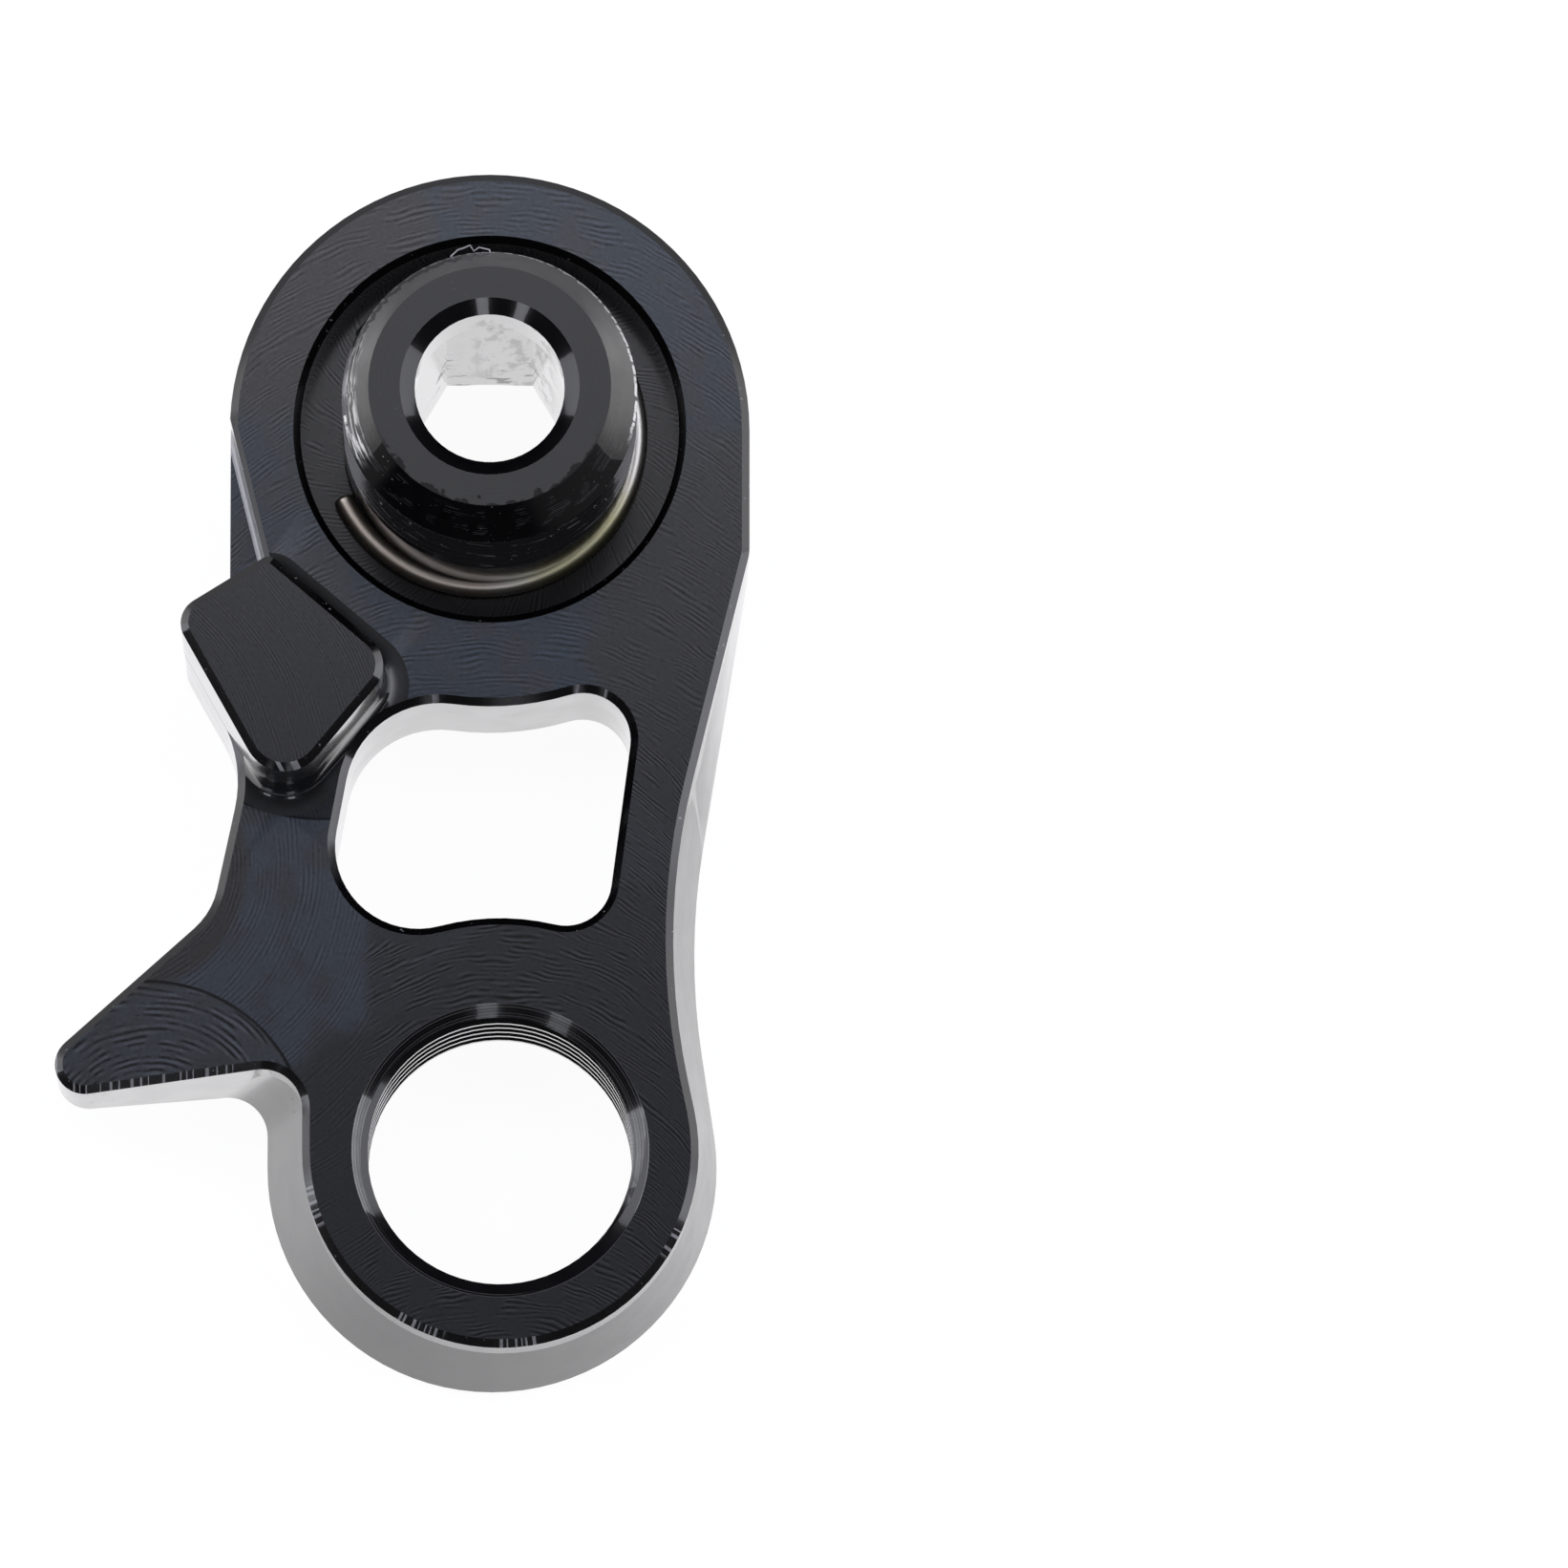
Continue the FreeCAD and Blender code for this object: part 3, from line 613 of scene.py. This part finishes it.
def ledge_corner_highlight():
    """Inside corner of the ledge, with pale grey streaks painted on it as a highlight."""
    made, graph, shader = new_material("ledge_corner_highlight")
    place = graph.millimetres()
    streaks = graph.noise(graph.vector("MULTIPLY", place, (4.0, 1.0, 4.0)), 1.0, 2.0)
    anodise(shader, ior=1.6, coat_ior=1.8, coat_roughness=0.22)
    # pale grey streaks painted along the corner as a highlight
    finish(graph, shader, base_color=graph.mix(streaks, LEDGE_HIGHLIGHT_GREY, PALE_LEDGE_HIGHLIGHT_GREY))
    finish(graph, shader, roughness=graph.span(streaks, 0.25, 0.4), metallic=0.5)
    return made


def claw_ticks(graph, axes):
    """Uneven chatter ticks along the lower edge of the claw, where pale glints are painted."""
    edge = graph.product(graph.step(axes[1], *CLAW_EDGE_Y), graph.step(axes[0], *CLAW_EDGE_X))
    drift = graph.product(graph.line_noise(axes[0], 1.1), 3.0)
    beat = graph.math("ADD", graph.product(axes[0], CLAW_TICKS_PER_MM), drift)
    wave = graph.math("COSINE", graph.product(beat, 2.0 * math.pi))
    return graph.product(graph.step(wave, 0.72, 0.95), edge)


def edge_chamfer():
    """Cut edges: glossy black, with groups of chatter ticks painted pale grey as glints, and dull along the
    ledge.
    """
    made, graph, shader = new_material("edge_chamfer")
    place = graph.millimetres()
    axes = graph.axes(place)
    spots = patches(graph, place, [(*spot, TICK_SOFTNESS) for spot in TICK_SPOTS])
    tick_glints_and_nicks = graph.product(graph.group(CHATTER_TICKS, place=place, centre=EYE, radius=6.5, pace=0.16), spots)
    tick_glints_and_nicks = graph.most(tick_glints_and_nicks, claw_ticks(graph, axes))
    tick_glints_and_nicks = graph.product(tick_glints_and_nicks, graph.span(graph.noise(place, 3.0), 0.3, 1.1))
    nicks = graph.group(SPECKS, place=place, fineness=5.0, cover=0.72)
    tick_glints_and_nicks = graph.most(tick_glints_and_nicks, graph.product(nicks, 0.6))
    ledge = graph.product(graph.step(axes[0], *LEDGE_X), graph.step(axes[2], *LEDGE_Z))
    ledge = graph.product(ledge, graph.step(axes[1], *LEDGE_TOP_Y), graph.step(axes[1], *LEDGE_FOOT_Y))
    anodise(shader, ior=1.55, coat_ior=1.6, coat_roughness=0.07)
    # real chatter ticks and nicks; the ticks' pale grey is a painted glint
    finish(graph, shader, base_color=graph.mix(tick_glints_and_nicks, DEEP_BLACK, TICK_GLINT_GREY))
    finish(graph, shader, roughness=graph.span(tick_glints_and_nicks, 0.16, 0.4))
    finish(graph, shader, coat_weight=graph.span(ledge, 1.0, 0.2))
    return made


def gloss_black(name):
    """Polished black with faint smudges."""
    made, graph, shader = new_material(name)
    smudge = graph.noise(graph.millimetres(), 1.5, 3.0)
    anodise(shader, ior=1.4, coat_ior=1.5, coat_roughness=0.07)
    finish(graph, shader, base_color=graph.mix(smudge, DEEP_BLACK, SOOT))
    finish(graph, shader, roughness=graph.span(smudge, 0.12, 0.26))
    return made


def foot_gloss():
    """Fillet at the foot of the block: polished black, and duller where it runs out into the front."""
    made, graph, shader = new_material("foot_gloss")
    place = graph.millimetres()
    smudge = graph.noise(place, 1.5, 3.0)
    polished = graph.step(graph.axes(place)[2], *FOOT_Z)
    anodise(shader, ior=1.45, coat_ior=1.75, coat_roughness=0.07)
    finish(graph, shader, base_color=graph.mix(smudge, DEEP_BLACK, PLAIN_BLACK))
    finish(graph, shader, roughness=graph.blend(polished, 0.5, graph.span(smudge, 0.12, 0.26)))
    finish(graph, shader, coat_weight=polished)
    return made


def eye_gloss():
    """Countersinks of the eye: polished black with the real rings of the turning tool, their grey a painted
    sheen, and painted shade at the top, where the sheen is cut.
    """
    made, graph, shader = new_material("eye_gloss")
    place = graph.millimetres()
    rings = graph.line_noise(graph.vector("LENGTH", flat_offset(graph, place, EYE)), 14.0, 2.0)
    grain = graph.noise(place, 2.0, 3.0)
    # painted shade: the sheen is cut at the top of the countersinks
    top = graph.step(graph.axes(place)[1], *EYE_TOP_SHADE_Y)
    gloss = graph.product(graph.span(rings, 0.2, 1.7), graph.span(top, 1.0, 0.25))
    anodise(shader, ior=1.4, coat_ior=1.85, coat_roughness=0.08)
    # the turning rings are real; their grey is painted sheen
    finish(graph, shader, base_color=graph.mix(graph.step(rings, 0.45, 0.75), DEEP_BLACK, TURNED_RING_SHEEN_GREY))
    finish(graph, shader, roughness=graph.span(grain, 0.14, 0.32))
    finish(graph, shader, coat_weight=graph.product(gloss, graph.span(grain, 0.7, 1.3)))
    return made


def turned_end():
    """Flat end of the nose: satin, with fine rings of the turning tool and a chipped rim."""
    made, graph, shader = new_material("turned_end")
    place = graph.millimetres()
    reach = graph.vector("LENGTH", flat_offset(graph, place, HEAD))
    rings = graph.line_noise(reach, 12.0, 2.0)
    nicks = graph.group(SPECKS, place=place, fineness=6.0, cover=0.76)
    uneven_reach = graph.math("ADD", reach, graph.noise(place, 2.5, 3.0))
    chips = graph.step(uneven_reach, *CHIPPED_RADIUS)
    chips = graph.product(chips, graph.step(graph.axes(place)[1], *CHIPPED_Y))
    anodise(shader, ior=1.3, coat_ior=1.6, coat_roughness=0.25)
    satin = graph.mix(rings, END_BLACK, PALE_END_BLACK)
    finish(graph, shader, base_color=graph.mix(nicks, satin, END_NICK_GREY))
    finish(graph, shader, roughness=graph.span(rings, 0.36, 0.48), normal=graph.bump(rings, 2.0))
    finish(graph, shader, coat_weight=graph.span(chips, 1.0, 0.1))
    return made


def scuffed(graph, shader, place):
    """Gloss black, scraped to bare metal where the nose is scuffed."""
    bare = graph.group(SCUFFS, place=place)
    smudge = graph.noise(place, 1.5, 3.0)
    finish(graph, shader, base_color=graph.mix(bare, graph.mix(smudge, DEEP_BLACK, SOOT), BARE_METAL))
    finish(graph, shader, metallic=bare, roughness=graph.blend(bare, graph.span(smudge, 0.14, 0.3), 0.35))
    finish(graph, shader, normal=graph.bump(bare, 10.0))


def nose_cone(name, ior, gloss):
    """Lead-in cone of the nose: black, scraped at its rim, with torn marks below the burr. Its sheen is
    painted on the upper side, and the copy with less gloss is painted shade for the lower side.
    """
    made, graph, shader = new_material(name)
    place = graph.millimetres()
    axes = graph.axes(place)
    turn = turn_about(graph, place, HEAD)
    ragged = graph.math("ADD", axes[2], graph.product(graph.line_noise(turn, 15.0, 3.0), -0.8))
    torn = graph.product(graph.step(ragged, *TORN_FOOT_Z), graph.step(ragged, *TORN_TOP_Z))
    torn = graph.product(torn, graph.step(turn, *TORN_START_TURN), graph.step(turn, *TORN_END_TURN))
    uneven = graph.span(graph.noise(place, 1.2, 3.0), 0.5, 1.0)
    # painted sheen on the upper side of the cone
    painted_sheen = graph.product(graph.step(axes[1], *PAINTED_SHEEN_CONE_Y), uneven, gloss)
    anodise(shader, ior=ior, coat_ior=1.45, coat_roughness=0.12)
    scuffed(graph, shader, place)
    finish(graph, shader, coat_weight=graph.product(painted_sheen, graph.span(torn, 1.0, 0.05)))
    return made


def nose_thread():
    """Thread and shank of the bolt: gloss black."""
    made, graph, shader = new_material("nose_thread")
    scuffed(graph, shader, graph.millimetres())
    anodise(shader, ior=1.5, coat_ior=1.55, coat_roughness=0.1)
    return made


def burr_metal():
    """Torn bare metal of the burr."""
    made, graph, shader = new_material("burr_metal")
    grey = graph.noise(graph.millimetres(), 9.0, 2.0)
    finish(graph, shader, base_color=graph.mix(grey, BURR_GREY, BARE_METAL))
    finish(graph, shader, roughness=graph.span(grey, 0.3, 0.5), metallic=0.4)
    return made


def bore_wall():
    """Walls of the bore and the hex socket: they mirror the floor, with soft smears and dark streaks."""
    made, graph, shader = new_material("bore_wall")
    place = graph.millimetres()
    axes = graph.axes(place)
    smears = graph.noise(graph.vector("MULTIPLY", place, (1.6, 1.6, 0.45)), 1.0, 3.0, 0.6)
    streaks = graph.noise(graph.vector("MULTIPLY", place, (0.9, 0.9, 1.3)), 1.0, 3.0, 0.6)
    soft = graph.product(graph.step(smears, 0.46, 0.62), graph.step(axes[0], *SMEARED_X), 0.45)
    hard = graph.product(graph.step(streaks, 0.58, 0.66), graph.step(axes[2], *STREAKED_Z), 0.8)
    dark = graph.product(graph.most(soft, hard), graph.step(axes[1], *DARK_BORE_Y))
    anodise(shader, ior=1.7, coat_ior=1.8, coat_roughness=0.08)
    finish(graph, shader, base_color=graph.mix(smears, DEEP_BLACK, SOOT))
    finish(graph, shader, roughness=graph.span(dark, 0.14, 0.5))
    finish(graph, shader, coat_weight=graph.span(dark, 1.0, 0.35))
    return made


def drawn_wire():
    """Bright spring wire: silver at the right, olive past it and stained brown along the bottom left."""
    made, graph, shader = new_material("drawn_wire")
    place = graph.millimetres()
    turn = turn_about(graph, place, RING_CENTRE)
    uneven = graph.span(graph.noise(place, 1.2, 3.0), 0.5, 1.2)
    brown = graph.product(graph.step(turn, *BROWN_TURN), uneven)
    olive = graph.product(graph.step(turn, *OLIVE_START_TURN), graph.step(turn, *OLIVE_END_TURN), uneven)
    draw = graph.line_noise(graph.vector("LENGTH", flat_offset(graph, place, RING_CENTRE)), 40.0, 2.0)
    colour = graph.mix(brown, WIRE_SILVER, WIRE_BROWN)
    finish(graph, shader, base_color=graph.mix(olive, colour, WIRE_OLIVE))
    finish(graph, shader, metallic=1.0, roughness=graph.span(draw, 0.3, 0.48))
    return made


def mesh_object(name, bm, materials=()):
    """An object in the scene with the given shape, which is used up."""
    mesh = bpy.data.meshes.new(name)
    bm.to_mesh(mesh)
    bm.free()
    for material in materials:
        mesh.materials.append(material)
    made = bpy.data.objects.new(name, mesh)
    bpy.context.scene.collection.objects.link(made)
    return made


def welded_copy(node):
    """The node's own shape in millimetres, with its loose triangles joined and its stored normals dropped."""
    mesh = frame["nodes"][node].data.copy()
    if "custom_normal" in mesh.attributes:
        mesh.attributes.remove(mesh.attributes["custom_normal"])
    bm = bmesh.new()
    bm.from_mesh(mesh)
    bpy.data.meshes.remove(mesh)
    bmesh.ops.scale(bm, vec=(1.0 / MM,) * 3, verts=bm.verts)
    bmesh.ops.remove_doubles(bm, verts=bm.verts, dist=WELD)
    return bm


def helix_cutter(centre, top, turns, rim, root, end_angle=0.0):
    """A right-hand thread groove as a solid. Rim and root are each a radius and the groove's width there."""
    bm = bmesh.new()
    section = []
    for radius, height in ((rim[0], -rim[1]), (root[0], -root[1]), (root[0], root[1]), (rim[0], rim[1])):
        section.append(bm.verts.new((radius, 0.0, height / 2.0)))
    face = bm.faces.new(section)
    bmesh.ops.spin(
        bm,
        geom=[face, *face.edges, *face.verts],
        axis=(0.0, 0.0, 1.0),
        dvec=(0.0, 0.0, PITCH / THREAD_STEPS),
        angle=2.0 * math.pi * turns,
        steps=THREAD_STEPS * turns,
    )
    bmesh.ops.rotate(bm, matrix=Matrix.Rotation(end_angle, 3, "Z"), verts=bm.verts)
    bmesh.ops.translate(bm, vec=(centre.x, centre.y, top - PITCH * turns), verts=bm.verts)
    bmesh.ops.recalc_face_normals(bm, faces=bm.faces)
    return bm


def cut(bm, cutter):
    """The first shape with the second one taken out of it."""
    body = mesh_object("cut_body", bm)
    tool = mesh_object("cut_tool", cutter)
    difference = body.modifiers.new("cut", "BOOLEAN")
    difference.operation = "DIFFERENCE"
    difference.solver = "EXACT"
    difference.object = tool
    left = bmesh.new()
    left.from_object(body, bpy.context.evaluated_depsgraph_get())
    for used in (body, tool):
        mesh = used.data
        bpy.data.objects.remove(used)
        bpy.data.meshes.remove(mesh)
    return left


def paint(bm, surface_of, finishes):
    """Gives each face the finish of its surface, and keeps edges sharp where surfaces don't flow together."""
    materials = list(dict.fromkeys(finishes.values()))
    surfaces = {}
    for face in bm.faces:
        surfaces[face] = surface_of(face)
        face.material_index = materials.index(finishes[surfaces[face]])
        face.smooth = True
    for edge in bm.edges:
        first, second = edge.link_faces
        pair = {surfaces[first], surfaces[second]}
        level = abs(edge.verts[0].co.z - edge.verts[1].co.z) < CREASE_RISE
        limit = CREASE_ANGLE if pair == CREASE and level else SHARP_ANGLE
        flows = len(pair) == 1 or pair in FLOWING
        edge.smooth = flows and edge.calc_face_angle(0.0) < limit
    return materials


def hand_over(name, bm, materials, node, body):
    """Puts the shape in metres, in place of its node."""
    bmesh.ops.scale(bm, vec=(MM,) * 3, verts=bm.verts)
    made = mesh_object(name, bm, materials)
    weighted = made.modifiers.new("flat_faces_stay_flat", "WEIGHTED_NORMAL")
    weighted.keep_sharp = True
    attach(made, body)
    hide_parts(node)


def off_centre(point, centre):
    """Distance of a point from an upright axis through the centre."""
    return math.hypot(point.x - centre.x, point.y - centre.y)


def link_surface(face):
    """Which surface of the link a face belongs to, from where it lies and which way it looks."""
    middle = face.calc_center_median()
    lean = face.normal.z
    if off_centre(middle, EYE) < EYE_THREAD_RADIUS:
        return "sink" if EYE_SINK_LEAN[0] < abs(lean) < EYE_SINK_LEAN[1] else "thread"
    if lean > LEVEL:
        if middle.z > BLOCK_TOP - WELD:
            return "block_top"
        sunk = off_centre(middle, HEAD) < RECESS_RADIUS and middle.z < RECESS_TOP
        return "recess" if sunk else "front"
    if lean < DOWNWARD:
        return "back"
    if WELD / 2.0 < middle.z < FOOT_TOP and lean > FILLET_LEAN:
        return "foot"
    by_ledge = middle.x < 0.0 and middle.y > LEDGE_END and middle.z < LEDGE_CORNER_TOP
    if by_ledge and lean > FILLET_LEAN:
        return "ledge_corner"
    if abs(lean) > CHAMFER_LEAN:
        return "chamfer"
    return "flare" if lean > FLARE_LEAN else "wall"


def make_link():
    """The link, with its thread cut into the eye."""
    rim = (EYE_MINOR - EYE_CUTTER_MARGIN, EYE_CREST_OPENING + 2.0 * EYE_CUTTER_MARGIN * FLANK_SLOPE)
    root = (EYE_MAJOR, EYE_ROOT_FLAT)
    turns = math.ceil((FRONT - BACK) / PITCH) + EYE_SPARE_TURNS
    bm = cut(welded_copy("adapter_body"), helix_cutter(EYE, FRONT + PITCH, turns, rim, root))
    plain = block_face()
    wall = cut_wall()
    finishes = {
        "front": milled_face(),
        "back": plain,
        "block_top": plain,
        "recess": recess_floor(),
        "wall": wall,
        "flare": wall,
        "ledge_corner": ledge_corner_highlight(),
        "chamfer": edge_chamfer(),
        "sink": eye_gloss(),
        "thread": gloss_black("thread_gloss"),
        "foot": foot_gloss(),
    }
    materials = paint(bm, link_surface, finishes)
    hand_over("adapter_link", bm, materials, "adapter_body", "adapter")


def bolt_surface(face):
    """Which surface of the bolt a face belongs to."""
    middle = face.calc_center_median()
    lean = face.normal.z
    if off_centre(middle, HEAD) < BORE_RADIUS and abs(lean) < BORE_LEAN:
        return "sink" if lean > BOLT_SINK_LEAN else "bore"
    if lean > NOSE_END_LEAN and middle.z > NOSE_END - WELD:
        return "end"
    if middle.z > NOSE_END - NOSE_CONE and NOSE_CONE_LEAN[0] < lean < NOSE_CONE_LEAN[1]:
        # the cone's lower side takes the dimmer copy of its material, as painted shade
        return "cone" if middle.y > PAINTED_SHADE_FROM * off_centre(middle, HEAD) else "painted_shade_cone"
    return "thread" if abs(lean) > THREAD_LEAN and middle.z > FRONT else "side"


def socket_cutter():
    """A cone that chamfers the mouth of the hex socket."""
    bm = bmesh.new()
    low = BOLT_BACK - SOCKET_CUTTER_MARGIN
    high = BOLT_BACK + SOCKET_CHAMFER
    bmesh.ops.create_cone(
        bm,
        cap_ends=True,
        segments=SOCKET_CUTTER_SIDES,
        depth=high - low,
        radius1=SOCKET_MOUTH + SOCKET_CUTTER_MARGIN,
        radius2=SOCKET_MOUTH - SOCKET_CHAMFER,
        matrix=Matrix.Translation((0.0, 0.0, (low + high) / 2.0)),
    )
    return bm


def burr_mesh():
    """The curl of metal, as a thin bent wire with closed ends."""
    curve = bpy.data.curves.new("burr_curl", "CURVE")
    curve.dimensions = "3D"
    curve.bevel_depth = BURR_RADIUS
    curve.bevel_resolution = 1
    curve.use_fill_caps = True
    spline = curve.splines.new("POLY")
    spline.points.add(len(BURR_CURL) - 1)
    for point, (x, y) in zip(spline.points, BURR_CURL):
        point.co = (x, y, BURR_HEIGHT, 1.0)
    bent = bpy.data.objects.new("burr_curl", curve)
    mesh = bpy.data.meshes.new_from_object(bent)
    mesh.uv_layers.remove(mesh.uv_layers[0])
    bpy.data.objects.remove(bent)
    bpy.data.curves.remove(curve)
    return mesh


def add_burr(bm, material_index):
    """Adds the curl of metal to the bolt."""
    mesh = burr_mesh()
    faces_before = len(bm.faces)
    points_before = len(bm.verts)
    bm.from_mesh(mesh)
    bpy.data.meshes.remove(mesh)
    bm.faces.ensure_lookup_table()
    for face in bm.faces[faces_before:]:
        face.material_index = material_index
        face.smooth = True
    bm.verts.ensure_lookup_table()
    bmesh.ops.remove_doubles(bm, verts=bm.verts[points_before:], dist=WELD)


def make_bolt():
    """The bolt, with its thread, the chamfer of its socket and the burr on its rim."""
    reach = NOSE_MAJOR + NOSE_CUTTER_MARGIN
    rim = (reach, NOSE_ROOT_FLAT + 2.0 * (reach - NOSE_ROOT) * FLANK_SLOPE)
    root = (NOSE_ROOT, NOSE_ROOT_FLAT)
    cutter = helix_cutter(HEAD, NOSE_THREAD_TOP, NOSE_THREAD_TURNS, rim, root, NOSE_THREAD_TOP_ANGLE)
    bm = cut(cut(welded_copy("mounting_bolt"), cutter), socket_cutter())
    thread = nose_thread()
    finishes = {
        "end": turned_end(),
        "thread": thread,
        "side": thread,
        # a glossy copy of the cone's material, and a dimmer copy that is painted shade on its lower side
        "cone": nose_cone("nose_cone", ior=1.2, gloss=1.0),
        "painted_shade_cone": nose_cone("painted_shade_cone", ior=1.08, gloss=0.3),
        "sink": gloss_black("bolt_gloss"),
        "bore": bore_wall(),
    }
    materials = paint(bm, bolt_surface, finishes)
    add_burr(bm, len(materials))
    materials.append(burr_metal())
    hand_over("hollow_bolt", bm, materials, "mounting_bolt", "bolt")


def make_ring():
    """The snap ring: a circle of wire spun past its gap, with rounded ends."""
    bm = bmesh.new()
    upright = Matrix.Translation((RING_MAJOR, 0.0, 0.0)) @ Matrix.Rotation(math.pi / 2.0, 4, "X")
    bmesh.ops.create_circle(bm, cap_ends=True, segments=WIRE_SIDES, radius=WIRE, matrix=upright)
    bmesh.ops.rotate(bm, matrix=Matrix.Rotation(RING_GAP[1], 3, "Z"), verts=bm.verts)
    sweep = 2.0 * math.pi - (RING_GAP[1] - RING_GAP[0])
    geometry = bm.verts[:] + bm.edges[:] + bm.faces[:]
    bmesh.ops.spin(bm, geom=geometry, axis=(0.0, 0.0, 1.0), angle=sweep, steps=RING_STEPS)
    bmesh.ops.translate(bm, vec=RING_CENTRE, verts=bm.verts)
    bmesh.ops.recalc_face_normals(bm, faces=bm.faces)
    ends = [edge for edge in bm.edges if edge.calc_face_angle(0.0) > WIRE_END_ANGLE]
    bmesh.ops.bevel(
        bm,
        geom=ends,
        affect="EDGES",
        offset=WIRE_END_ROUND,
        offset_type="OFFSET",
        segments=WIRE_END_STEPS,
        profile=0.5,
        material=-1,
    )
    materials = paint(bm, lambda face: "wire", {"wire": drawn_wire()})
    hand_over("snap_ring", bm, materials, "retaining_ring", "bolt")


def floor_paper():
    """Paper, white to the camera and in reflections, darker there behind the head, and clear from below."""
    made, graph, shader = new_material("studio_floor")
    rays = graph.node("ShaderNodeLightPath").outputs
    seen = graph.most(rays["Is Camera Ray"], rays["Is Glossy Ray"], rays["Is Transmission Ray"])
    place = graph.millimetres()
    near = graph.step(graph.vector("LENGTH", flat_offset(graph, place, HEAD)), *NEAR_HEAD)
    behind = graph.product(graph.step(graph.axes(place)[1], *BEHIND_HEAD_Y), near)
    mirrored = graph.mix(behind, MIRRORED_WHITE, MIRRORED_GREY)
    tone = graph.mix(rays["Is Camera Ray"], mirrored, PAPER_WHITE)
    paper = graph.node("ShaderNodeBsdfDiffuse", {"Color": PAPER}).outputs[0]
    shade = graph.node("ShaderNodeBsdfDiffuse", {"Color": PAPER_SHADE}).outputs[0]
    glow = graph.node("ShaderNodeEmission", {"Color": tone}).outputs[0]
    white = graph.node("ShaderNodeAddShader", [glow, shade]).outputs[0]
    upper = graph.node("ShaderNodeMixShader", [seen, paper, white]).outputs[0]
    below = graph.node("ShaderNodeNewGeometry").outputs["Backfacing"]
    clear = graph.node("ShaderNodeBsdfTransparent").outputs[0]
    surface = graph.node("ShaderNodeMixShader", [below, upper, clear]).outputs[0]
    graph.fill(made.node_tree.nodes["Material Output"].inputs["Surface"], surface)
    made.node_tree.nodes.remove(shader)
    return made


def make_floor():
    """The paper that the link lies on."""
    bm = bmesh.new()
    bmesh.ops.create_grid(bm, x_segments=1, y_segments=1, size=FLOOR_REACH * MM)
    bmesh.ops.translate(bm, vec=(0.0, 0.0, (BACK - FLOOR_GAP) * MM), verts=bm.verts)
    mesh_object("studio_floor", bm, [floor_paper()])


def add_softbox(name, azimuth, elevation, distance, size, radiance):
    """A soft lamp that looks at the middle of the link, with angles in degrees and lengths in metres."""
    lamp = bpy.data.lights.new(name, "AREA")
    lamp.shape = "RECTANGLE"
    lamp.size, lamp.size_y = size
    lamp.energy = radiance * math.pi * size[0] * size[1]
    lamp.color = LAMP_COLOUR
    made = bpy.data.objects.new(name, lamp)
    turn = math.radians(azimuth)
    rise = math.radians(elevation)
    away = Vector((math.cos(rise) * math.cos(turn), math.cos(rise) * math.sin(turn), math.sin(rise)))
    made.location = LAMP_TARGET * MM + away * distance
    made.rotation_euler = away.to_track_quat("Z", "Y").to_euler()
    bpy.context.scene.collection.objects.link(made)


def make_lamps():
    """Cards at both sides, boxes above, and two small strips in front that glint on the block's foot."""
    add_softbox("card_left", azimuth=170.0, elevation=24.0, distance=0.5, size=(0.4, 0.44), radiance=1.5)
    add_softbox("card_right", azimuth=8.0, elevation=24.0, distance=0.5, size=(0.46, 0.44), radiance=1.5)
    add_softbox("box_top", azimuth=90.0, elevation=68.5, distance=0.317, size=(0.26, 0.12), radiance=1.1)
    add_softbox("box_back_left", azimuth=150.0, elevation=60.0, distance=0.9, size=(0.3, 0.3), radiance=2.5)
    add_softbox("box_back_right", azimuth=20.0, elevation=60.0, distance=0.9, size=(0.3, 0.3), radiance=2.5)
    add_softbox("box_front", azimuth=-90.0, elevation=70.0, distance=0.6, size=(0.3, 0.16), radiance=0.9)
    add_softbox("strip_near", azimuth=-84.0, elevation=15.5, distance=0.5, size=(0.08, 0.08), radiance=2.4)
    add_softbox("strip_far", azimuth=-117.0, elevation=15.5, distance=0.5, size=(0.08, 0.08), radiance=2.4)


def make_sky():
    """Dim sky that is a little brighter overhead, and a white backdrop to the camera."""
    world = bpy.data.worlds.new("studio")
    world.use_nodes = True
    graph = Graph(world.node_tree)
    rise = graph.axes(graph.node("ShaderNodeTexCoord").outputs["Generated"])[2]
    sky = graph.mix(graph.step(rise, *SKY_RISE), LOW_SKY, HIGH_SKY)
    seen = graph.node("ShaderNodeLightPath").outputs["Is Camera Ray"]
    graph.fill(world.node_tree.nodes["Background"].inputs["Color"], graph.mix(seen, sky, BACKDROP))
    bpy.context.scene.world = world


def make_camera():
    """A long lens that looks down on the front from a little past the eye's end."""
    lens = bpy.data.cameras.new("photo_camera")
    lens.sensor_width = SENSOR_WIDTH
    lens.lens = FOCAL_LENGTH
    made = bpy.data.objects.new("photo_camera", lens)
    made.location = CAMERA_PLACE * MM
    made.rotation_euler = CAMERA_TURN
    bpy.context.scene.collection.objects.link(made)
    bpy.context.scene.camera = made


make_camera()
make_floor()
make_lamps()
make_sky()
make_link()
make_bolt()
make_ring()
bpy.context.scene.view_settings.view_transform = "Standard"
